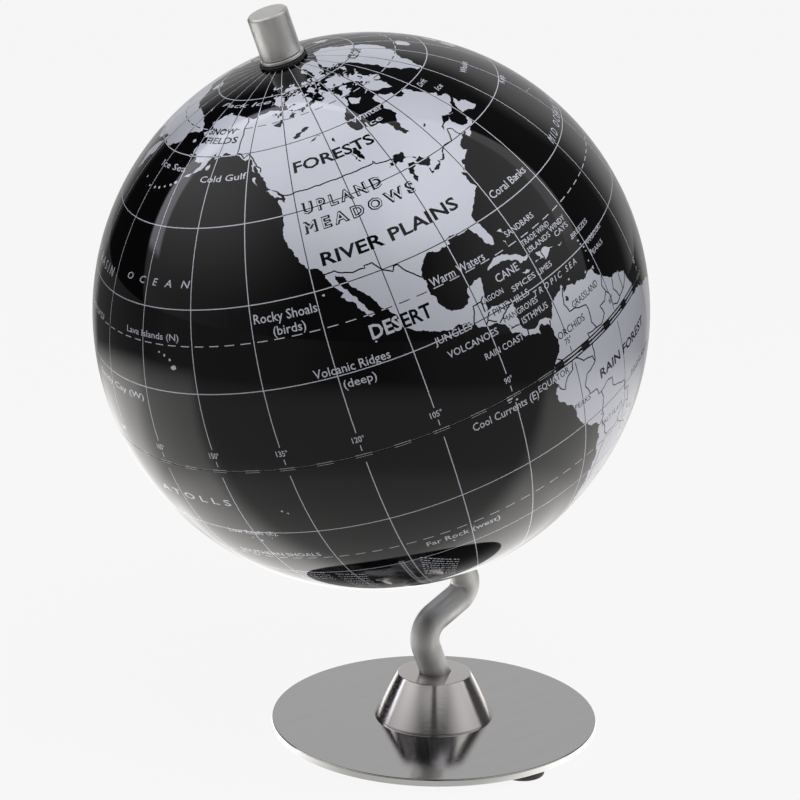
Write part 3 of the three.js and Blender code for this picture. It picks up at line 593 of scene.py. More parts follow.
BORDERS = [
    [(-122.8, 49), (-118, 49), (-113, 49), (-108, 49), (-103, 49), (-98, 49), (-95.2, 49), (-94.9, 49.5),
     (-94.6, 48.7), (-92, 48.3), (-89.6, 48), (-88, 48.2)],
    [(-84.4, 46.5), (-83.6, 46)], [(-82.5, 43), (-82.8, 42)], [(-79, 42.8), (-79.2, 43.4)],
    [(-76.4, 44.1), (-74.8, 45), (-71.5, 45), (-70.3, 46), (-69.2, 47.4), (-67.8, 47), (-67.6, 45.4),
     (-67, 44.9)],
    [(-117.1, 32.5), (-114.7, 32.6), (-111, 31.3), (-108.2, 31.3), (-108.2, 31.8), (-106.5, 31.8),
     (-104.6, 29.8), (-103, 29), (-102.4, 29.8), (-101.4, 29.8), (-99.5, 27.5), (-97.4, 25.9)],
    [(-141, 69.6), (-141, 66), (-141, 63), (-141, 60.3), (-139.2, 60.1), (-137.5, 58.9), (-135.4, 59.7),
     (-133.4, 58.4), (-131.8, 56.6), (-130.1, 55.9), (-130.2, 55)],
    [(-92.2, 14.6), (-91.7, 16.1), (-91, 17.8), (-89.2, 17.8), (-88.3, 18.5)], [(-89.2, 17.8), (-89.2, 15.9)],
    [(-90.1, 13.8), (-89.4, 14.4), (-88.4, 15.6)], [(-89.4, 14.4), (-87.8, 13.5)],
    [(-87.4, 13), (-86, 13.9), (-85, 14.4), (-83.3, 15)], [(-85.7, 11.1), (-83.8, 10.9)],
    [(-82.9, 8.2), (-82.6, 9.4)], [(-77.8, 7.2), (-77.4, 8.5)], [(-71.8, 19.7), (-71.8, 18)],
    [(-71.4, 11.8), (-72.8, 9.2), (-72.2, 7.4), (-70, 7), (-67.5, 6.2), (-67.8, 2.8), (-66.9, 1.2)],
    [(-66.9, 1.2), (-65, 1.1), (-63.4, 2.2), (-64, 4), (-62, 4), (-60.7, 5.2), (-61.2, 6.7), (-59.9, 8.2)],
    [(-60.7, 5.2), (-59.9, 4.4), (-59.8, 2), (-58.4, 1.4), (-56.5, 1.9), (-54.6, 2.3), (-51.7, 4.1)],
    [(-57.2, 6), (-58, 4.2), (-56.5, 1.9)], [(-54, 5.8), (-54.5, 4), (-54.6, 2.3)],
    [(-66.9, 1.2), (-69.8, 1.7), (-69.4, -0.8), (-69.9, -4.2)],
    [(-78.8, 1.4), (-77.2, 0.4), (-75.3, -0.1), (-74, -1), (-72.8, -2.3), (-70.2, -2.8), (-69.9, -4.2)],
    [(-80.2, -3.4), (-79.6, -4.4), (-78.8, -4.8), (-78.2, -3.4), (-76, -2.2), (-75.3, -0.1)],
    [(-69.9, -4.2), (-72.8, -5.2), (-73.8, -7.2), (-72.8, -9.4), (-70.6, -9.6), (-70.4, -11), (-69.5, -10.9)],
    [(-69.5, -10.9), (-68.8, -12.6), (-69.4, -15.4), (-69, -16.4), (-69.5, -17.5), (-70.3, -18.3)],
    [(-69.5, -10.9), (-66.8, -9.9), (-65.3, -10.2), (-65.2, -12), (-62.8, -13.1), (-60.4, -13.8),
     (-60.2, -16.2),
     (-58.3, -16.4), (-58, -19.8)],
    [(-58, -19.8), (-59.4, -19.3), (-62.2, -20.6), (-62.6, -22.2), (-64.4, -22.8), (-67, -22.6)],
    [(-69.5, -17.5), (-68.4, -19.6), (-68, -21.8), (-67, -22.6), (-68.4, -24.6), (-69.4, -28.6), (-70, -32),
     (-70.6, -36), (-71.6, -39.6), (-71.8, -44), (-72, -48), (-73, -50), (-71.8, -52)],
    [(-58, -19.8), (-57.8, -22.1), (-55.6, -22.4), (-54.4, -24.2), (-54.6, -25.6)],
    [(-62.6, -22.2), (-60, -24), (-57.6, -25.4), (-58.6, -27.3), (-56, -27.3), (-54.6, -25.6), (-53.8, -27.2),
     (-57.6, -30.2), (-58.3, -33.8)],
    [(-57.6, -30.2), (-55.6, -30.8), (-53.2, -33.6)],
    [(-1.8, 43.4), (3.1, 42.4)], [(-7, 41.9), (-7, 39.6), (-7.4, 37.2)],
    [(2.6, 51), (6, 49.5), (8, 49), (7.4, 47.6)],
    [(7.4, 47.6), (7, 46), (7.5, 43.8)], [(7.4, 47.6), (13, 47.6), (13.8, 46.5), (10.4, 46.8), (7, 46)],
    [(14.2, 53.9), (14.8, 51), (18.8, 49.6), (22.6, 49), (24, 51), (23.6, 54), (19.8, 54.4)],
    [(22.6, 49), (26.4, 48), (28.2, 45.5)], [(13.8, 46.5), (17, 48), (22.6, 48)], [(20.2, 46.2), (28, 43.8)],
    [(27.6, 70), (28.8, 67), (30, 64), (31, 62.6), (27.8, 60.6)],
    [(11.6, 59), (12.4, 63), (16, 67.4), (20.6, 69)],
    [(28, 57), (31, 54), (32, 52), (36, 50.2), (39.8, 49.4), (38.4, 47.2)],
    [(36, 36.8), (42.4, 37.2), (44.4, 38.6), (43.6, 41.2), (41.5, 41.6)],
    [(44.6, 37), (46, 34), (48.4, 30.2)],
    [(35.4, 31.5), (38.8, 33.2), (41.2, 34.6), (42.4, 37.2)],
    [(36.4, 29.4), (42, 31), (46.6, 29), (48.4, 28.6)],
    [(43.4, 16.6), (48, 18.2), (52, 19), (55, 20), (55.2, 22.8)],
    [(53.9, 37.3), (57, 38), (61, 36.6), (61, 31), (61.8, 25.2)],
    [(61, 36.6), (66, 37.4), (71, 37.4), (74.6, 37.2)], [(66.4, 29.8), (69.4, 32), (71.6, 36.4)],
    [(68.2, 23.8), (70.4, 27.8), (74.4, 31), (75, 33), (77.8, 35.4)],
    [(73.6, 39.6), (77.8, 35.4), (79, 32.4), (81.6, 30.2), (86, 28), (92, 27.8), (97.4, 28.2)],
    [(88.4, 26.4), (88.8, 24), (89, 21.8)], [(92.4, 21), (93, 24), (95.4, 27), (97.4, 28.2)],
    [(97.4, 28.2), (98.6, 25), (101, 21.6), (102.4, 22.6), (105.4, 23.2), (108, 21.6)],
    [(98.6, 16.4), (97.6, 18.6), (100.2, 20.4), (102, 17.8), (104.8, 16.6), (105.6, 14.4), (102.4, 13.6),
     (102.8, 12)],
    [(102.4, 22.6), (104.6, 19.8), (107.4, 15.4), (106.8, 11.6)],
    [(48.4, 46.2), (47, 49), (51.4, 51.4), (58.6, 51), (61.4, 53.8), (70, 55.2), (77, 53.4), (83, 51),
     (87.4, 49.2)],
    [(55.6, 41.4), (61, 42), (66, 41.2), (70.8, 42.4), (73.6, 39.6)], [(55.6, 45), (61, 44.4), (66, 41.6)],
    [(87.4, 49.2), (91, 46.8), (96.4, 42.8), (104.8, 41.6), (111.8, 43.6), (119.6, 46.6), (116, 49.8)],
    [(87.4, 49.2), (98, 50.2), (102.4, 51.4), (107, 49.8), (116, 49.8), (119.8, 52.6), (126, 52.8),
     (130.8, 48),
     (134.6, 48.3), (131.2, 44.8), (130.6, 42.6)],
    [(124.4, 40.1), (128, 41.8), (130.6, 42.4)], [(126.6, 37.8), (128.4, 38.6)],
    [(110, 1.6), (113, 1.4), (115, 4), (117.6, 4.2)],
    [(141, -2.6), (141, -9)], [(129, -14.8), (129, -31.6)],
    [(138, -16.6), (138, -26), (141, -26), (141, -37.9)],
    [(129, -26), (138, -26)], [(141, -29), (149, -29), (153.4, -28.2)],
    [(141, -34), (146, -36), (150, -37.4)],
    [(-1.8, 34.9), (-1.6, 32), (-8.7, 28.8), (-8.7, 27.3), (-13, 27.6)],
    [(-8.7, 27.3), (-4.8, 25), (3.2, 19), (11.8, 23.6)],
    [(8.4, 36.8), (7.8, 33.4), (9.4, 30.4), (11.8, 23.6), (15.8, 23.4), (24, 19.6)],
    [(25, 31.6), (25, 22), (36.8, 22)],
    [(24, 19.6), (22, 12.6), (27.4, 5), (30.8, 3.6), (34, 4.2), (36, 4.4)],
    [(36.8, 18), (36, 12), (33, 8), (36, 4.4)],
    [(36, 4.4), (41.8, 4), (41, -0.8)], [(41.8, 4), (47.8, 8), (43, 11)],
    [(-16.6, 16.2), (-12, 14.8), (-11.4, 12.4), (-16.6, 12.4)],
    [(-12, 14.8), (-5.4, 15.4), (-4.8, 25)], [(3.2, 19), (4, 15), (3.6, 11.6), (2.8, 6.4)],
    [(3.6, 11.6), (13.6, 13.6), (15.8, 23.4)],
    [(-8, 10.2), (-5.4, 11), (0.4, 11), (3.6, 11.6)], [(-8, 10.2), (-8, 7.4), (-7.6, 4.6)],
    [(-3, 9.8), (-3, 5)], [(1, 9.8), (1.2, 6)],
    [(13.6, 13.6), (12, 7.4), (8.8, 4.8)], [(15.8, 7.6), (18.6, 4.4), (22.6, 4), (27.4, 5)],
    [(15.8, 7.6), (16.2, 2.2), (13, 2.2), (9.8, 2.2)],
    [(18.6, 4.4), (16.4, -1.6), (13, -4.6)],
    [(12.4, -6), (16.8, -7.2), (21.8, -7.4), (22, -11), (24, -11), (24, -13)],
    [(30, 3.8), (29.6, -1.4), (30.8, -8.3), (28.6, -9.4), (28.4, -12.4), (30, -13.4)],
    [(33.9, -1), (37.6, -3), (39.2, -4.6)],
    [(24, -13), (22, -16.4), (23.4, -17.6), (11.8, -17.3)],
    [(25.2, -17.8), (30.2, -15.6), (33, -14), (34.6, -11.6), (40.4, -10.6)],
    [(21, -18.2), (21, -22), (20, -24.8), (20, -28.4), (16.6, -28.6)],
    [(25.2, -17.8), (27.6, -20.8), (29.4, -22.2), (32, -22.4), (32.6, -18)],
    [(20, -24.8), (25.6, -25.6), (29.4, -22.2), (31.4, -22.4), (32, -26.8)],
]

# Words of general geography, as (text, west end, east end, latitude, letter height in mm, style).
LABELS = [
    ("FORESTS", -118.6, -90.4, 54.2, 2.2, "bold"),
    ("U P L A N D", -118.5, -95.6, 45.3, 2.0, "hollow"),
    ("M E A D O W S", -119, -89, 41.6, 2.0, "hollow"),
    ("RIVER PLAINS", -116.8, -82.5, 35.2, 2.3, "bold"),
    ("DESERT", -111.5, -98.8, 20.6, 2.5, "bold"),
    ("Warm Waters", -96.9, -84, 24.6, 1.6, "plain"),
    ("SNOW", -163.5, -145.5, 66.2, 1.4, "bold"),
    ("FIELDS", -162, -143, 63.9, 1.4, "bold"),
    ("Rocky Shoals", -134.3, -120.3, 27.5, 1.7, "plain"),
    ("(birds)", -130.4, -123.4, 25, 1.6, "plain"),
    ("Volcanic Ridges", -124.4, -109.3, 16.2, 1.6, "plain"),
    ("(deep)", -119.4, -113, 13.4, 1.5, "plain"),
    ("Cool Currents (E)", -99.4, -85, -2.1, 1.6, "plain"),
    ("Coral Banks", -74.4, -61.2, 32.6, 1.5, "plain"),
    ("O   C   E   A   N", -174, -150.4, 34.6, 1.35, "slanted"),
    ("Lava Islands (N)", -171.3, -153.6, 25, 1.2, "plain"),
    ("A T O L L S", -172.4, -151.2, -7.4, 1.5, "plain"),
    ("Low Reefs (E)", -156.9, -144.8, -15.2, 1.1, "plain"),
    ("SOUTHERN SHOALS", -159.3, -138, -22.2, 1.2, "plain"),
    ("Far Rock (west)", -115.3, -98.3, -25.5, 1.5, "plain"),
    ("Sandy Cay (W)", 172, -166.4, 12.8, 1.2, "plain"),
    ("Cold Gulf", -154.6, -135.4, 55, 1.3, "plain"),
    ("Ice Sea", 178, -164.4, 57, 1.3, "plain"),
    ("Pack Ice", -172, -128, 73.4, 1.1, "slanted"),
    ("Drift", -58.4, -53, 58.2, 1.2, "slanted"),
    ("Ice", -56, -52, 55, 1.2, "slanted"),
    ("Winter", -93, -78.4, 59.7, 1.2, "plain"),
    ("Ice", -89, -82.4, 57.4, 1.2, "plain"),
    ("SANDBARS", -77.2, -68.2, 25.5, 1.1, "plain"),
    ("TRADE WIND", -75, -66, 22.5, 1, "plain"),
    ("ISLANDS", -74.4, -67.4, 20.9, 1, "plain"),
    ("WINDY", -67, -61.2, 21.3, 1, "plain"),
    ("CAYS", -66.4, -61.6, 20, 1, "plain"),
    ("CANE", -84.2, -78.4, 19.9, 1.5, "plain"),
    ("SPICES", -82.1, -75.8, 16.9, 1, "plain"),
    ("LIMES", -75.2, -71, 16.7, 1, "plain"),
    ("LAGOON", -89, -83.9, 17.7, 1, "plain"),
    ("PINE HILLS", -87.8, -79, 15.1, 1.2, "plain"),
    ("MANGROVES", -86.4, -78, 13.1, 1.1, "plain"),
    ("ISTHMUS", -83, -76.4, 11.2, 1.2, "plain"),
    ("T R O P I C   S E A", -78.2, -65, 14, 1.1, "slanted"),
    ("JUNGLES", -100.7, -92.8, 15.1, 1.3, "plain"),
    ("VOLCANOES", -99.2, -88.4, 12.1, 1.3, "plain"),
    ("RAIN COAST", -92.7, -84, 8.9, 1.2, "plain"),
    ("BREEZES", -62.6, -55.6, 17.6, 0.9, "plain"),
    ("HARBOURS", -60, -52.4, 14.8, 0.9, "plain"),
    ("PEARLS", -60, -54.6, 12.6, 0.9, "plain"),
    ("ORCHIDS", -77, -69.2, 4.9, 1.4, "plain"),
    ("GRASSLAND", -71, -62.2, 8, 1.3, "plain"),
    ("EQUATOR", -84.7, -76.9, -1.6, 1.3, "plain"),
    ("RAIN FOREST", -69, -48.4, -7.4, 1.9, "bold"),
    ("PEAKS", -77.4, -72.8, -9.8, 1.2, "plain"),
    ("SALT FLATS", -69.6, -61, -18.6, 1.2, "plain"),
    ("HIGHLANDS", -56.8, -45, -14.2, 1.3, "plain"),
    ("GRASSES", -66.4, -58.8, -35.6, 1.3, "plain"),
    ("G R A S S Y   P L A I N S", -2, 34, 11.6, 1.7, "bold"),
    ("SAND DUNES", -4, 18, 22.4, 2, "bold"),
    ("OASES", 26, 34, 26.2, 1.2, "plain"),
    ("RIFT LAKES", 26, 36.4, -5.4, 1.3, "plain"),
    ("SAVANNA", 15, 27.6, -14, 1.5, "plain"),
    ("BUSHLAND", 18, 30, -30.6, 1.4, "plain"),
    ("LEMURS", 43.6, 49.4, -19.4, 1.1, "plain"),
    ("FARMLAND", 0, 16, 47.6, 1.2, "plain"),
    ("BIRCH WOODS", 28, 50, 57.4, 1.7, "bold"),
    ("C O N I F E R S", 70, 128, 61.6, 2.4, "bold"),
    ("STEPPE", 50, 72, 48.4, 1.9, "bold"),
    ("COLD DESERT", 80, 112, 40.6, 1.8, "bold"),
    ("RICE TERRACES", 98, 118, 27.4, 1.5, "plain"),
    ("MONSOON", 73.4, 84, 20.4, 1.7, "bold"),
    ("DRY SANDS", 41.4, 54, 22.6, 1.4, "plain"),
    ("BAMBOO", 100, 107.4, 16.4, 1.1, "plain"),
    ("RED EARTH", 119, 144, -24.6, 2.3, "bold"),
    ("EUCALYPTS", 143, 151.6, -32.4, 1.2, "plain"),
    ("CLOUD FORESTS", 132, 146.6, -4.8, 1.1, "plain"),
    ("ICE CAP", -50, -30, 74.6, 1.9, "bold"),
    ("P E R M A N E N T   I C E", 0, 120, -78, 2, "bold"),
    ("I C E   S H E L F", -160, -70, -80.4, 1.6, "slanted"),
    ("M I D   O C E A N   R I D G E", -46, -12, 31.6, 1.7, "slanted"),
    ("D E E P   W A T E R", -30, 2, -21.4, 1.8, "slanted"),
    ("W A R M   O C E A N", 62, 98, -17.6, 1.9, "slanted"),
    ("D E E P   B A S I N", 150, 178, 33.4, 1.9, "slanted"),
    ("COLD OCEAN", 60, 100, -52.4, 1.7, "slanted"),
    ("Trench", 143, 152, 19.4, 1.4, "plain"),
    ("Seamounts", 162, 176, 24.4, 1.3, "plain"),
    ("Coral Wall", 150, 162, -16.8, 1.4, "plain"),
    ("Whales", -38, -28, 52.4, 1.3, "plain"),
    ("Kelp", -33, -27, 44.4, 1.3, "plain"),
    ("Sardines", -30, -20, 8.4, 1.3, "plain"),
    ("Icebergs", -20, -8, -58.4, 1.4, "plain"),
    ("Albatross", 110, 130, -46.4, 1.5, "plain"),
    ("Penguins", -92, -72, -61.6, 1.3, "plain"),
    ("Spring Tides", 84, 95, 14.4, 1.2, "plain"),
]

# Blocks of fine strokes, as the corners at the upper left, upper right, lower left and lower right, and rows.
NOTE_BLOCKS = [
    ((-118, -29.6), (-109.6, -36.1), (-119.3, -38.3), (-112, -45.9), 9),
    ((-149, -29.6), (-141.5, -30.4), (-148.6, -33.4), (-141, -34.2), 4),
    ((-139.4, -31), (-132.6, -32.4), (-139.8, -40), (-133.4, -41.6), 8),
]
SCALE_MERIDIAN, SCALE_SPAN = -122.4, (-29.3, -48.4)

BOLD, PLAIN = 0.024, 0.006
SCATTERED = 150                      # small islands and inlets strewn over the far north
HOLLOW_OUTSIDE, HOLLOW_INSIDE = 0.066, -0.01
LETTER_CAPS = 0.73                   # height of a capital against the font's size


def unit(longitude, latitude):
    """Direction from the ball's centre, in the ball's own frame, of a place on the printed map."""
    lat = math.radians(latitude)
    lat += PRINT_STRETCH * math.sin(2 * lat)
    lon = math.radians(longitude) + PRINT_TURN
    return Vector((math.cos(lat) * math.cos(lon), math.cos(lat) * math.sin(lon), math.sin(lat)))


def roughened(points, dice, closed, amount=0.19, stop=COAST_STEP):
    """The line broken down to short stretches, each middle point pushed sideways by chance."""
    def between(a, b):
        length = (b - a).length
        if length < stop:
            return []
        push = a.cross(b).normalized() * length * dice.uniform(-amount, amount)
        middle = ((a + b) / 2 + push).normalized()
        return between(a, middle) + [middle] + between(middle, b)

    made = []
    ends = points[1:] + points[:1] if closed else points[1:]
    for a, b in zip(points, ends):
        made += [a, *between(a, b)]
    return made if closed else made + [points[-1]]


def ribbon(points, width):
    """Outline of a line of that width, drawn on the ball through the points."""
    left, right = [], []
    for i, p in enumerate(points):
        ahead = points[min(i + 1, len(points) - 1)] - points[max(i - 1, 0)]
        side = p.cross(ahead).normalized() * width / 2
        left.append((p + side).normalized())
        right.append((p - side).normalized())
    return left + right[::-1]


def patch(longitude, latitude, right, up):
    """The place at right and up, in metres over the ball's surface, from a place on the map."""
    lat = math.radians(latitude)
    lat += PRINT_STRETCH * math.sin(2 * lat)
    lon = math.radians(longitude) + PRINT_TURN + right / (BALL_RADIUS * math.cos(lat))
    lat += up / BALL_RADIUS
    return Vector((math.cos(lat) * math.cos(lon), math.cos(lat) * math.sin(lon), math.sin(lat)))


def letter_loops(text, thickness, shear):
    """Closed outlines of a line of text, one unit high."""
    curve = bpy.data.curves.new("lettering", "FONT")
    curve.body = text
    curve.offset = thickness
    curve.shear = shear
    curve.resolution_u = 2
    made = bpy.data.objects.new("lettering", curve)
    bpy.context.scene.collection.objects.link(made)
    bpy.context.view_layer.update()
    mesh = bpy.data.meshes.new_from_object(made)
    used = {}
    for polygon in mesh.polygons:
        for edge in polygon.edge_keys:
            used[edge] = used.get(edge, 0) + 1
    links = {}
    for (a, b), count in used.items():
        if count == 1:
            links.setdefault(a, []).append(b)
            links.setdefault(b, []).append(a)
    loops = []
    while links:
        start = next(iter(links))
        loop, at = [], start
        while at in links:
            loop.append(tuple(mesh.vertices[at].co)[:2])
            onward = links.pop(at)
            at = next((n for n in onward if n in links), None)
        if len(loop) > 2:
            loops.append(loop)
    bpy.data.objects.remove(made)
    bpy.data.curves.remove(curve)
    bpy.data.meshes.remove(mesh)
    return loops


class Print:
    """The map's shapes, each a closed outline of directions from the ball's centre, with its kind."""

    def __init__(self):
        self.shapes = []
        self.dice = random.Random(11)

    def add(self, kind, outline):
        self.shapes.append((kind, outline))

    def line(self, kind, points, width):
        self.add(kind, ribbon(points, width))

    def lands(self):
        for outline in LANDS:
            self.add("land", roughened([unit(*p) for p in outline], self.dice, True))
        for longitude, latitude, radius in ISLETS:
            self.add("land", [
                patch(
                    longitude, latitude,
                    BALL_RADIUS * math.radians(radius) * self.dice.uniform(0.6, 1.1) * math.cos(turn),
                    BALL_RADIUS * math.radians(radius) * self.dice.uniform(0.5, 0.9) * math.sin(turn),
                )
                for turn in [math.radians(40 * i) for i in range(9)]
            ])
        for _ in range(SCATTERED):
            west, south = self.dice.uniform(-130, -66), self.dice.uniform(66.8, 77)
            wide, tall = self.dice.uniform(1.2, 5.5), self.dice.uniform(0.4, 1.5)
            corners = [(west, south), (west + wide, south + tall * 0.4), (west + wide * 0.6, south + tall)]
            kind = self.dice.choice(("land", "land", "lake"))
            self.add(kind, roughened([unit(*p) for p in corners], self.dice, True, 0.35, COAST_STEP * 0.5))
        for outline in LAKES:
            self.add("lake", roughened([unit(*p) for p in outline], self.dice, True, 0.26, COAST_STEP * 0.6))
        for border in BORDERS:
            self.line("border", roughened([unit(*p) for p in border], self.dice, False, 0.08), BORDER)

    def graticule(self):
        """Meridians and parallels every 15 degrees, dashed tropics and polar circles."""
        for longitude in range(-180, 180, 15):
            for sign in (1, -1):
                start = 4.4 if sign > 0 else 1.4
                for first, last, steps, width in ((start, 72, 26, LINE), (72, MERIDIAN_END, 5, LINE * 0.6)):
                    stops = [sign * (first + (last - first) * i / steps) for i in range(steps + 1)]
                    self.line("line", [unit(longitude, s) for s in stops], width)
            self.line("line", [unit(longitude, s) for s in (0.9, 1.4, 2.0)], LINE)
        for latitude in (75, 60, 45, 30, 15, -15, -30, -45, -60, -75):
            for start in range(-180, 180, 15):
                self.line("line", [unit(start + 2.5 * i, latitude) for i in range(7)], LINE)
        for latitude in (66.5, 23.5, -23.5, -66.5):
            step = 3.75 if abs(latitude) < 60 else 7.5
            for i in range(int(360 / step)):
                start = -180 + step * i + step * 0.2
                self.line("line", [unit(start + step * 0.3 * j, latitude) for j in range(3)], LINE)

    def equator(self):
        """A dark band over the land, with pairs of short bars every seven and a half degrees."""
        half = math.degrees(0.72 * MM / BALL_RADIUS)
        for start in range(-180, 180, 15):
            low = [unit(start + 2.5 * i, -half) for i in range(7)]
            high = [unit(start + 2.5 * i, half) for i in range(7)]
            self.add("band", low + high[::-1])
        for i in range(48):
            middle = -180 + 7.5 * i
            for centre in (0.2 * MM, -0.2 * MM):
                latitude = math.degrees(centre / BALL_RADIUS)
                self.line("bar", [unit(middle + 0.8 * j, latitude) for j in range(-2, 3)], LINE * 0.36)
                latitude = math.degrees(centre * 1.7 / BALL_RADIUS)
                self.line("block", [unit(middle + 1.3 * j, latitude) for j in range(-2, 3)], LINE * 1.4)
            hair = [unit(middle + 2.5 * j, 0.1) for j in range(4)]
            self.line("hair", hair, LINE * 0.18)

    def text(self, kind, words, west, east, latitude, height, thickness=0.0, shear=0.0):
        loops = letter_loops(words, thickness, shear)
        xs = [x for loop in loops for x, y in loop]
        turn = math.radians((east - west) % 360)
        lat = math.radians(latitude)
        room = turn * BALL_RADIUS * math.cos(lat + PRINT_STRETCH * math.sin(2 * lat))
        wide = room / (max(xs) - min(xs))
        tall = height * MM / LETTER_CAPS
        for loop in loops:
            self.add(kind, [
                patch(west, latitude, (x - min(xs)) * wide, (y - LETTER_CAPS / 2) * tall) for x, y in loop
            ])

    def labels(self):
        for words, west, east, latitude, height, style in LABELS:
            shear = 0.25 if style == "slanted" else 0.0
            if style == "hollow":
                self.text("letter", words, west, east, latitude, height, HOLLOW_OUTSIDE, shear)
                self.text("letter", words, west, east, latitude, height, HOLLOW_INSIDE, shear)
            else:
                thickness = BOLD if style == "bold" else PLAIN
                self.text("letter", words, west, east, latitude, height, thickness, shear)

    def numerals(self):
        """Degrees of longitude beside the equator."""
        for longitude in range(-180, 180, 15):
            words = str(abs(longitude)) + "°"
            half = (0.62 if abs(longitude) >= 100 else 0.45) * 1.9
            self.text("letter", words, longitude - half, longitude + half, 3.2, 1.15, 0.012)

    def notes(self):
        """Blocks of ruled strokes, too fine to be writing, and a scale with a tick for each degree."""
        for top_west, top_east, foot_west, foot_east, rows in NOTE_BLOCKS:
            for row in range(rows):
                down = row / (rows - 1)
                west = Vector(top_west).lerp(Vector(foot_west), down)
                east = Vector(top_east).lerp(Vector(foot_east), down)
                along = 0.0
                while along < 0.97:
                    stroke = self.dice.uniform(0.03, 0.09)
                    ends = [west.lerp(east, along), west.lerp(east, min(1.0, along + stroke))]
                    self.line("line", [unit(*p) for p in ends], 0.3 * MM / BALL_RADIUS)
                    along += stroke + self.dice.choice((0.02, 0.025, 0.05))
        first, last = SCALE_SPAN
        for offset in (-0.35, 0.35):
            stops = [first + (last - first) * i / 20 for i in range(21)]
            self.line("line", [unit(SCALE_MERIDIAN + offset, s) for s in stops], LINE * 0.7)
        for step in range(int(first - last)):
            tick = [unit(SCALE_MERIDIAN + x, first - step) for x in (-0.75, 0.0, 0.75)]
            self.line("line", tick, LINE * 0.7)

    def all(self):
        self.lands()
        self.graticule()
        self.equator()
        self.labels()
        self.numerals()
        self.notes()
        return self


def is_silver(kinds):
    """Silver or black, from the kinds of shape that cover a triangle."""
    land = "land" in kinds and "lake" not in kinds
    if "bar" in kinds or (land and "block" in kinds) or ("hair" in kinds and not land):
        return True
    if "band" in kinds:
        return False
    marked = "line" in kinds or (land and "border" in kinds)
    if kinds.count("letter") % 2:
        marked = True
    return land != marked


# ------------------------------------------------------------------ the ball

SEAM_HALF_GAP = 0.03 * MM
SEAM_ROUND = 0.06 * MM
WALL = 1.5 * MM
HOLE_RADIUS = 4.2 * MM
RIM_SIDES = 240
HOLE_SIDES = 72
LATTICE_STEP = math.radians(2.5)


def to_sheet(p, side):
    """Flattens a direction about the pole of one half, true to distance from that pole."""
    away = math.acos(max(-1.0, min(1.0, side * p.z)))
    across = math.hypot(p.x, p.y)
    return Vector((p.x, p.y)) * (away / across) if across > 1e-9 else Vector((0, 0))


def from_sheet(q, side):
    away = q.length
    if away < 1e-9:
        return Vector((0, 0, side))
    across = math.sin(away) / away
    return Vector((q.x * across, q.y * across, side * math.cos(away)))


def sheet_circle(away, sides):
    return [
        Vector((away * math.cos(2 * math.pi * i / sides), away * math.sin(2 * math.pi * i / sides)))
        for i in range(sides)
    ]


def coverings(edges, edge_sources, triangles):
    """The numbers of the outlines round each triangle, found by walking in from the outside."""
    per_outline = min(min(found) for found in edge_sources if found)
    crossed = {}
    for (a, b), found in zip(edges, edge_sources):
        if found:
            toggled = frozenset()
            for source in found:
                toggled ^= {source // per_outline - 1}
            crossed[frozenset((a, b))] = toggled
    sides = {}
    for index, (a, b, c) in enumerate(triangles):
        for edge in (frozenset((a, b)), frozenset((b, c)), frozenset((c, a))):
            sides.setdefault(edge, []).append(index)
    made = [None] * len(triangles)
    nothing = frozenset()
    start, found = next((e, f) for e, f in sides.items() if len(f) == 1)
    made[found[0]] = crossed.get(start, nothing)
    waiting = [found[0]]
    while waiting:
        index = waiting.pop()
        a, b, c = triangles[index]
        for edge in (frozenset((a, b)), frozenset((b, c)), frozenset((c, a))):
            for onward in sides[edge]:
                if made[onward] is None:
                    made[onward] = made[index] ^ crossed.get(edge, nothing)
                    waiting.append(onward)
    return made


def printed_skin(printed, side):
    """The outside of one half as triangles, split along every printed edge, with their colours."""
    rim = math.pi / 2 - (SEAM_HALF_GAP + SEAM_ROUND) / BALL_RADIUS
    hole = math.asin(HOLE_RADIUS / BALL_RADIUS)
    places, outlines, kinds = [], [], []

    def put(kind, points):
        area = sum(a.x * b.y - b.x * a.y for a, b in zip(points, points[1:] + points[:1]))
        points = points if area > 0 else points[::-1]
        outlines.append(list(range(len(places), len(places) + len(points))))
        places.extend(points)
        kinds.append(kind)

    put("half", sheet_circle(rim, RIM_SIDES))
    put("hole", sheet_circle(hole, HOLE_SIDES))
    for kind, outline in printed.shapes:
        if max(side * p.z for p in outline) > -0.02:
            if kind == "land" and min(side * p.z for p in outline) < -0.97:
                continue
            put(kind, [to_sheet(p, side) for p in outline])
    rings = round((rim - hole) / LATTICE_STEP)
    for i in range(1, rings):
        away = hole + (rim - hole) * i / rings
        sides = max(24, round(2 * math.pi * math.sin(away) / LATTICE_STEP))
        places += sheet_circle(away, sides)
    vertices, edges, triangles, _, edge_sources, _ = delaunay_2d_cdt(places, [], outlines, 0, 1e-6, True)
    kept, silver = [], []
    for triangle, covering in zip(triangles, coverings(edges, edge_sources, triangles)):
        found = [kinds[s] for s in covering]
        if "half" in found and "hole" not in found:
            kept.append(triangle if side > 0 else triangle[::-1])
            silver.append(is_silver(found))
    return [from_sheet(v, side) for v in vertices], kept, silver, rim, hole


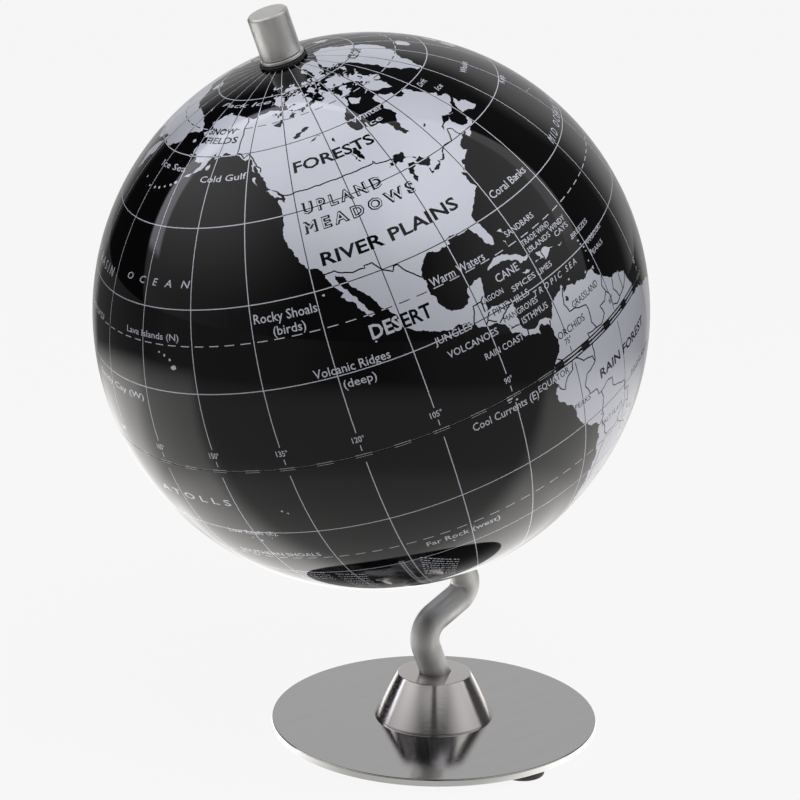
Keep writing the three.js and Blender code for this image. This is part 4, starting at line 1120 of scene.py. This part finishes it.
def half_ball(name, printed, side, replaced):
    """One moulded half: the printed skin, a rounded seam edge, the inside and the pole hole."""
    directions, triangles, silver, rim, hole = printed_skin(printed, side)
    used = sorted({v for t in triangles for v in t})
    renumber = {v: i for i, v in enumerate(used)}
    directions = [directions[v] for v in used]
    faces = [tuple(renumber[v] for v in t) for t in triangles]
    colours = [1 if s else 0 for s in silver]
    skin_faces = len(faces)
    edges = {}
    for face in faces:
        for a, b in zip(face, face[1:] + face[:1]):
            if (b, a) in edges:
                del edges[(b, a)]
            else:
                edges[(a, b)] = True
    follow = dict(edges.keys())
    loops = []
    while follow:
        start = next(iter(follow))
        loop, at = [], start
        while at in follow:
            loop.append(at)
            at = follow.pop(at)
        loops.append(loop)

    def reach(loop):
        """Mean distance of a loop from the axis."""
        return sum(math.hypot(*directions[v].xy) for v in loop) / len(loop)

    rim_loop = max(loops, key=reach)
    hole_loop = min(loops, key=reach)
    vertices = [d * BALL_RADIUS for d in directions]

    def extend(loop, profile, inked):
        """Adds a ring of faces from the loop to each (radius, height) of the profile in turn."""
        around = [math.atan2(vertices[v].y, vertices[v].x) for v in loop]
        for step, (radius, height) in enumerate(profile):
            ring = list(range(len(vertices), len(vertices) + len(loop)))
            vertices.extend(
                Vector((radius * math.cos(a), radius * math.sin(a), side * height)) for a in around
            )
            for i in range(len(loop)):
                j = (i + 1) % len(loop)
                faces.append((loop[j], loop[i], ring[i], ring[j]))
                colours.append(0 if step < inked else 2)
            loop = ring
        return loop

    inner = BALL_RADIUS - WALL
    lip = BALL_RADIUS * math.cos(math.pi / 2 - rim) - SEAM_ROUND
    seam = [(lip + SEAM_ROUND * 0.7, SEAM_HALF_GAP + SEAM_ROUND * 0.3), (lip, SEAM_HALF_GAP)]
    inside = [
        (inner * math.sin(away), inner * math.cos(away))
        for away in [math.pi / 2 - math.radians(5) * i for i in range(17)]
    ]
    inside[0] = (inner, SEAM_HALF_GAP)
    rim_end = extend(rim_loop, seam + inside, 3)
    inner_hole = math.asin(HOLE_RADIUS / inner)
    bore = [
        (HOLE_RADIUS, BALL_RADIUS * math.cos(hole) - 0.3 * MM),
        (HOLE_RADIUS, inner * math.cos(inner_hole)),
    ]
    hole_end = extend(hole_loop, bore, 2)
    zip_rings(vertices, faces, colours, rim_end, hole_end, side)

    made = piece(
        name, [TO_BALL @ v for v in vertices], faces, [INK, SILVER, SHELL],
        "globe", [replaced], True, colours,
    )
    normals = []
    for index, polygon in enumerate(made.data.polygons):
        for v in polygon.vertices:
            if index < skin_faces:
                normals.append(tuple(SLANT.to_3x3() @ vertices[v].normalized()))
            else:
                normals.append((0, 0, 0))
    sharpen(made, 30)
    made.data.normals_split_custom_set(normals)
    return made


def zip_rings(vertices, faces, colours, outer, inner, side):
    """Joins two rings that have different counts of points with triangles."""
    def angle(v):
        return math.atan2(vertices[v].y, vertices[v].x) % (2 * math.pi)

    outer = sorted(outer, key=angle)
    inner = sorted(inner, key=angle)
    i = j = 0
    while i < len(outer) or j < len(inner):
        a, b = outer[i % len(outer)], inner[j % len(inner)]
        next_a = angle(outer[(i + 1) % len(outer)]) + (2 * math.pi if i + 1 >= len(outer) else 0)
        next_b = angle(inner[(j + 1) % len(inner)]) + (2 * math.pi if j + 1 >= len(inner) else 0)
        if j >= len(inner) or (i < len(outer) and next_a <= next_b):
            i += 1
            face = (a, b, outer[i % len(outer)])
        else:
            j += 1
            face = (a, b, inner[j % len(inner)])
        faces.append(face if side > 0 else face[::-1])
        colours.append(2)


def make_ball():
    printed = Print().all()
    half_ball("globe_north_half", printed, 1, "north_hemisphere")
    half_ball("globe_south_half", printed, -1, "south_hemisphere")


# ------------------------------------------------------------------ the rod and what is on it

def rod_stations():
    """Centres, directions and radii down the rod: spigot, shaft, groove, two bends and the foot."""
    shoulder = spindle("friction_washer")[1]
    clip_low, clip_high, _ = spindle("retaining_clip")
    bend_start = -BALL_RADIUS - ROD_STRAIGHT_BELOW_POLE
    spigot_top = spindle("axis_rod")[1]
    stations = []
    down = -AXIS
    for height, radius in (
        (spigot_top, SPIGOT_RADIUS * 0.8),
        (spigot_top - 0.4 * MM, SPIGOT_RADIUS),
        (shoulder, SPIGOT_RADIUS),
        (shoulder, ROD_RADIUS),
        (clip_high + 0.2 * MM, ROD_RADIUS),
        (clip_high + 0.2 * MM, GROOVE_RADIUS),
        (clip_low - 0.2 * MM, GROOVE_RADIUS),
        (clip_low - 0.2 * MM, ROD_RADIUS),
        (bend_start, ROD_RADIUS),
    ):
        stations.append((CENTRE + AXIS * height, down, radius))
    here = stations[-1][0].copy()

    def heading(angle):
        return Vector((math.sin(angle), 0, -math.cos(angle)))

    def bend(start, end, radius):
        nonlocal here
        turn = (end - start) / BEND_STEPS
        chord = 2 * radius * math.sin(abs(turn) / 2)
        for i in range(BEND_STEPS):
            here = here + heading(start + turn * (i + 0.5)) * chord
            stations.append((here, heading(start + turn * (i + 1)), ROD_RADIUS))

    bend(TILT, JOG_ANGLE, UPPER_BEND_RADIUS)
    here = here + heading(JOG_ANGLE) * JOG_LENGTH
    stations.append((here, heading(JOG_ANGLE), ROD_RADIUS))
    bend(JOG_ANGLE, TILT, LOWER_BEND_RADIUS)
    drop = here.z - PLATE_TOP - ROD_END_ABOVE_PLATE
    stations.append((here + down * (drop / math.cos(TILT)), down, ROD_RADIUS))
    return stations


def make_rod():
    rings = []
    for centre, along, radius in rod_stations():
        across = Vector((0, 1, 0)).cross(along)
        rings.append([
            centre + (across * math.cos(a) + Vector((0, 1, 0)) * math.sin(a)) * radius
            for a in [2 * math.pi * i / ROD_SIDES for i in range(ROD_SIDES)]
        ])
    vertices, faces = loft(rings)
    faces = [f[::-1] for f in faces]
    made = piece("bent_rod", vertices, faces, [ROD_STEEL], "stand", ["axis_rod"])
    return sharpen(made, 35)


def make_cap():
    low, high, radius = spindle("pole_cap")
    chamfer = 0.35 * MM
    bore = SPIGOT_RADIUS + GAP
    depth = spindle("axis_rod")[1] + GAP
    profile = rounded([
        (0, depth), (bore, depth), (bore, low), (radius - chamfer / 2, low), (radius, low + chamfer / 2),
        (radius, high - chamfer), (radius - chamfer, high), (0, high),
    ], 0.12 * MM)
    profile[0] = Vector((ON_AXIS, depth))
    profile[-1] = Vector((ON_AXIS, high))
    vertices, faces = turned(profile, TURNED_SIDES, TO_BALL)
    made = piece("pole_cap_steel", vertices, faces, [CAP_STEEL], "stand", ["pole_cap"])
    return sharpen(made, 30)


def make_washer(name, node, bore, soft, material):
    low, high, radius = spindle(node)
    vertices, faces = turned(
        [
            (p.x, p.y) for p in rounded(
                [(bore, (low + high) / 2), (bore, low), (radius, low), (radius, high), (bore, high),
                 (bore, (low + high) / 2)], soft, 5)
        ][:-1], TURNED_SIDES, TO_BALL, True,
    )
    return sharpen(piece(name, vertices, faces, [material], "stand", [node]), 40)


# ------------------------------------------------------------------ the foot

def make_collar():
    foot, height, bottom_radius = upright("stand_collar")
    end = rod_stations()[-1][0]
    place = Matrix.Translation(Vector((foot.x, foot.y, 0)))
    outside = rounded([
        (bottom_radius - 0.3 * MM, foot.z), (bottom_radius, foot.z), (bottom_radius, foot.z + 0.25 * MM),
        (COLLAR_TOP_RADIUS, foot.z + height - 0.05 * MM), (COLLAR_TOP_RADIUS - 0.3 * MM, foot.z + height),
    ], 0.22 * MM)
    rings = [circle(p.x, p.y, COLLAR_SIDES, place) for p in outside]

    def socket(z, radius):
        """The slanted socket cut by the level z."""
        middle = end + AXIS * ((z - end.z) / AXIS.z)
        return [
            Vector((middle.x + radius * math.cos(a) / AXIS.z, middle.y + radius * math.sin(a), z))
            for a in [2 * math.pi * i / COLLAR_SIDES for i in range(COLLAR_SIDES)]
        ]

    top = foot.z + height
    bore = ROD_RADIUS + FIT
    rings += [socket(top, bore + FIT), socket(top - FIT, bore), socket(end.z - GAP, bore)]
    vertices, faces = loft(rings)
    made = piece("collar_steel", vertices, faces, [TURNED_STEEL], "stand", ["stand_collar"])
    low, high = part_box("collar_set_screw")
    middle = (low + high) / 2
    across = (high.x - low.x) / 2 + GAP
    lay = Matrix.Translation(Vector((middle.x, low.y, middle.z))) @ Matrix.Rotation(-math.pi / 2, 4, "X")
    cut(made, *turned([(across, -0.2 * MM), (across, bottom_radius * 1.5)], 48, lay))
    return sharpen(made, 30)


def cut(made, vertices, faces):
    """Takes a closed shape away from a piece."""
    mesh = bpy.data.meshes.new("cutter")
    mesh.from_pydata([tuple(v) for v in vertices], [], faces)
    cutter = bpy.data.objects.new("cutter", mesh)
    bpy.context.scene.collection.objects.link(cutter)
    boolean = made.modifiers.new("cut", "BOOLEAN")
    boolean.operation = "DIFFERENCE"
    boolean.object = cutter
    bpy.context.view_layer.update()
    result = bpy.data.meshes.new_from_object(made.evaluated_get(bpy.context.evaluated_depsgraph_get()))
    made.modifiers.clear()
    old = made.data
    made.data = result
    result.name = old.name
    bpy.data.objects.remove(cutter)


def make_plate():
    centre = Matrix.Translation(PLATE_FOOT)
    edge = 0.34 * MM
    profile = [
        (1e-5, 0), (PLATE_RADIUS - edge * 3, 0), (PLATE_RADIUS, 0), (PLATE_RADIUS, PLATE_THICKNESS),
        (PLATE_RADIUS - edge * 3, PLATE_THICKNESS), (1e-5, PLATE_THICKNESS),
    ]
    corners = rounded(profile[1:-1], edge, 8)
    levels = [Vector(profile[0]), *corners, Vector(profile[-1])]
    vertices, faces = turned(levels, 192, centre)
    made = piece("foot_plate", vertices, faces, [SHEET_STEEL], "stand", ["base_plate"])
    for number in (1, 2, 3):
        low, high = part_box(f"base_screw_{number}")
        head, shank = (high.x - low.x) / 2 + GAP, 1.25 * MM + GAP
        place = Matrix.Translation(Vector(((low.x + high.x) / 2, (low.y + high.y) / 2, low.z)))
        cut(made, *turned(
            [(head, -1 * MM), (head, 0), (shank, head - shank), (shank, PLATE_THICKNESS + 1 * MM)], 48, place,
        ))
    return sharpen(made, 30)


def make_pads():
    for number in (1, 2, 3):
        node = f"foot_pad_{number}"
        foot, height, radius = upright(node)
        profile = [Vector((1e-5, 0))] + rounded(
            [(radius - 1.4 * MM, 0), (radius, 0), (radius * 0.985, height), (radius - 1.4 * MM, height)],
            0.45 * MM, 6,
        ) + [Vector((1e-5, height))]
        vertices, faces = turned(profile, 72, Matrix.Translation(foot))
        made = piece(f"rubber_pad_{number}", vertices, faces, [RUBBER], "stand", [node])
        sharpen(made, 40)


def dress(node, material):
    """Keeps a CAD node's own shape and gives it its finish."""
    made = frame["nodes"][node]
    made.data.materials.clear()
    made.data.materials.append(material)


# ------------------------------------------------------------------ floor, light and camera

CAMERA_AIM = Vector((0.00188, -0.00634, 0.0733))
CAMERA_AZIMUTH = math.radians(-40.963)
CAMERA_ELEVATION = math.radians(13.447)
CAMERA_DISTANCE = 0.38592
CAMERA_ROLL = math.radians(0.58)
CAMERA_LENS = 90.44

TO_CAMERA = Vector((math.sin(CAMERA_AZIMUTH), -math.cos(CAMERA_AZIMUTH), 0))
TO_RIGHT = Vector((math.cos(CAMERA_AZIMUTH), math.sin(CAMERA_AZIMUTH), 0))
PAPER = 0.93                         # how bright the plain surroundings look
FLOOR_PAPER = PAPER * 0.975          # and the plain floor, to the camera
FLOOR_RADIUS = 12.0
CAMERA_SENSOR = 36                   # mm
KEY_LIGHT_POWER = 3.9
KEY_LIGHT_SIZE = (0.5, 0.5)
KEY_LIGHT_PLACE = (0.35, 0.15, 0.6)  # from the ball: towards the camera, to the right, up


def dot(tree, source, direction):
    made = tree.nodes.new("ShaderNodeVectorMath")
    made.operation = "DOT_PRODUCT"
    tree.links.new(source, made.inputs[0])
    made.inputs[1].default_value = direction
    return made.outputs["Value"]


def split_by_camera(tree, painted, plain, output):
    """The camera sees the plain shader; gloss and the light on the object see the painted one."""
    mixed = add_node(tree, "ShaderNodeMixShader")
    seen = add_node(tree, "ShaderNodeLightPath").outputs["Is Camera Ray"]
    for socket, source in zip(mixed.inputs, (seen, painted.outputs[0], plain.outputs[0])):
        tree.links.new(source, socket)
    tree.links.new(mixed.outputs[0], tree.nodes[output].inputs["Surface"])


def make_surroundings():
    """The camera sees it plain and pale. Gloss and light see two tall soft lights and a pale wall behind,
    painted by direction, with values set to bring the gloss near the photograph's."""
    world = bpy.data.worlds.new("studio")
    bpy.context.scene.world = world
    world.use_nodes = True
    tree = world.node_tree
    way = add_node(tree, "ShaderNodeTexCoord").outputs["Generated"]
    toward = dot(tree, way, TO_CAMERA)
    right = dot(tree, way, TO_RIGHT)
    up = dot(tree, way, (0, 0, 1))
    azimuth = calc(tree, "DEGREES", calc(tree, "ARCTAN2", right, toward))
    height = calc(tree, "DEGREES", calc(tree, "ARCSINE", up))

    # The outer edges of the two soft lights lean outwards with height, and high up they nearly meet.
    left_place = calc(tree, "MULTIPLY_ADD", height, 0.5, azimuth)
    right_place = calc(tree, "MULTIPLY_ADD", height, -0.2, azimuth)
    left = times(
        tree, ramp(tree, azimuth, -8, -88), ramp(tree, left_place, -104, -102),
        ramp(tree, height, 2, 40, 0.24, 0.86))
    edge = times(
        tree, ramp(tree, left_place, -104, -102), ramp(tree, left_place, -93, -95),
        ramp(tree, height, 11, 14))
    right_light = times(
        tree, ramp(tree, azimuth, 5, 75), ramp(tree, right_place, 100, 98),
        ramp(tree, height, -2, 26, 0.3, 0.6))
    right_edge = times(
        tree, ramp(tree, right_place, 100, 98), ramp(tree, right_place, 90, 92),
        ramp(tree, height, 12, 30, 0.0, 0.42))
    apart = calc(tree, "ABSOLUTE", azimuth)
    above = times(
        tree, ramp(tree, apart, 4, 9), ramp(tree, apart, 95, 80), ramp(tree, height, 27, 42, 0.0, 0.52),
        ramp(tree, height, 72, 58))
    wall = calc(tree, "MAXIMUM", ramp(tree, azimuth, -141, -160), ramp(tree, azimuth, 124, 150))
    wall = times(tree, wall, ramp(tree, height, 52, 34, 0.05, 0.5))
    lights = calc(tree, "MAXIMUM", left, right_light)
    level = calc(tree, "MAXIMUM", lights, calc(tree, "MAXIMUM", wall, above))
    level = calc(tree, "MAXIMUM", level, ramp(tree, azimuth, -85, -60, 0.008, 0.045))
    level = calc(tree, "ADD", level, right_edge)

    glow = add_node(tree, "ShaderNodeCombineColor")
    for channel, share, tint in zip(glow.inputs, (1.25, 1.22, 1.42), (1.0, 0.995, 1.005)):
        tree.links.new(calc(tree, "MULTIPLY_ADD", edge, share, calc(tree, "MULTIPLY", level, tint)), channel)
    studio = add_node(tree, "ShaderNodeBackground", Strength=1.0)
    tree.links.new(glow.outputs[0], studio.inputs["Color"])
    paper = add_node(tree, "ShaderNodeBackground", Color=(PAPER, PAPER, PAPER, 1))
    split_by_camera(tree, studio, paper, "World Output")


def make_floor():
    """A level floor. The camera sees it plain and pale, and it takes next to no shadow. Gloss and light see
    it brighter behind the object than in front, with values set to bring the gloss near the
    photograph's."""
    profile = [(FLOOR_RADIUS, -0.02 * MM), (FLOOR_RADIUS, 0)]
    vertices, faces = turned(profile, 64, Matrix.Identity(4))
    mesh = bpy.data.meshes.new("floor")
    mesh.from_pydata([tuple(v) for v in vertices], [], faces)
    floor = bpy.data.objects.new("floor", mesh)
    bpy.context.scene.collection.objects.link(floor)
    floor.location.z = -0.05 * MM
    material = bpy.data.materials.new("pale_floor")
    material.use_nodes = True
    tree = material.node_tree
    tree.nodes.remove(tree.nodes["Principled BSDF"])
    place = add_node(tree, "ShaderNodeTexCoord").outputs["Object"]
    behind = calc(tree, "MULTIPLY", dot(tree, place, TO_CAMERA), -1.0)
    side = dot(tree, place, TO_RIGHT)
    squared = calc(tree, "MULTIPLY_ADD", behind, behind, calc(tree, "MULTIPLY", side, side))
    distance = calc(tree, "SQRT", squared)
    reach = calc(tree, "MULTIPLY_ADD", calc(tree, "ABSOLUTE", side), 0.36, behind)
    light = ramp(tree, reach, -0.02, 0.008, 0.5, 1.56)
    backward = calc(tree, "DIVIDE", behind, distance)
    straight_back = ramp(tree, backward, 0.97, 0.8, 0.54, 0.34)
    taken = times(tree, light, straight_back, ramp(tree, distance, 0.082, 0.112))
    light = calc(tree, "SUBTRACT", light, taken)
    left_back = times(tree, ramp(tree, side, -0.05, -0.075), ramp(tree, behind, 0.02, 0.068, 0.0, 0.6))
    light = calc(tree, "MULTIPLY_ADD", light, left_back, light)
    light = times(tree, light, ramp(tree, distance, 0.2, 0.42, 1.0, 0.06))
    sideways = calc(tree, "ABSOLUTE", calc(tree, "DIVIDE", side, distance))
    outskirts = times(
        tree, ramp(tree, backward, 0.2, -0.1, 0.06, 0.15), ramp(tree, sideways, 0.0, 0.6, 0.4, 1.0))
    light = calc(tree, "MAXIMUM", light, outskirts)
    light = calc(tree, "ADD", light, ramp(tree, distance, 0.09, 0.045, 0.0, 0.08))
    far_back = times(tree, ramp(tree, backward, 0.76, 0.9, 0.0, 0.45), ramp(tree, distance, 0.1, 0.3))
    light = calc(tree, "MAXIMUM", light, far_back)
    lit = add_node(tree, "ShaderNodeEmission", Color=(1.0, 0.985, 0.965, 1))
    tree.links.new(light, lit.inputs["Strength"])
    paper = add_node(tree, "ShaderNodeEmission", Strength=FLOOR_PAPER)
    shaded = add_node(tree, "ShaderNodeBsdfDiffuse", Color=(0.03, 0.03, 0.03, 1))
    both = add_node(tree, "ShaderNodeAddShader")
    tree.links.new(paper.outputs[0], both.inputs[0])
    tree.links.new(shaded.outputs[0], both.inputs[1])
    split_by_camera(tree, lit, both, "Material Output")
    mesh.materials.append(material)


def make_light(name, power, size, place, aim):
    data = bpy.data.lights.new(name, "AREA")
    data.shape = "RECTANGLE"
    data.size, data.size_y = size
    data.energy = power
    light = bpy.data.objects.new(name, data)
    light.location = place
    light.rotation_mode = "QUATERNION"
    light.rotation_quaternion = (Vector(aim) - Vector(place)).to_track_quat("-Z", "Y")
    bpy.context.scene.collection.objects.link(light)
    return light


def make_key_light():
    """Soft light from above, for the printed silver; too diffuse to show in the gloss."""
    near, right, up = KEY_LIGHT_PLACE
    place = CENTRE + TO_CAMERA * near + TO_RIGHT * right + Vector((0, 0, up))
    light = make_light("overhead_softbox", KEY_LIGHT_POWER, KEY_LIGHT_SIZE, place, CENTRE)
    light.visible_glossy = False


def make_camera():
    data = bpy.data.cameras.new("camera")
    data.lens = CAMERA_LENS
    data.sensor_width = CAMERA_SENSOR
    camera = bpy.data.objects.new("camera", data)
    back = TO_CAMERA * math.cos(CAMERA_ELEVATION) + Vector((0, 0, math.sin(CAMERA_ELEVATION)))
    camera.location = CAMERA_AIM + back * CAMERA_DISTANCE
    look = (-back).to_track_quat("-Z", "Y")
    camera.rotation_mode = "QUATERNION"
    camera.rotation_quaternion = look @ Matrix.Rotation(CAMERA_ROLL, 3, "Z").to_quaternion()
    bpy.context.scene.collection.objects.link(camera)
    bpy.context.scene.camera = camera


# ------------------------------------------------------------------ everything together

make_camera()
make_surroundings()
make_floor()
make_key_light()
make_ball()
make_rod()
make_cap()
make_washer("cap_washer_steel", "cap_washer", SPIGOT_RADIUS + GAP, 0.15 * MM, CAP_STEEL)
make_washer("friction_washer_rubber", "friction_washer", ROD_RADIUS + GAP, 0.25 * MM, RUBBER)
make_washer("thrust_washer_nylon", "thrust_washer", ROD_RADIUS + GAP, 0.15 * MM, NYLON)
make_collar()
make_plate()
make_pads()
for inner_node in ("seam_ring", "north_bushing", "south_bushing"):
    dress(inner_node, NYLON)
for screw_node in ("retaining_clip", "collar_set_screw", "base_screw_1", "base_screw_2", "base_screw_3"):
    dress(screw_node, BRIGHT_STEEL)

bpy.context.scene.view_settings.view_transform = "Standard"
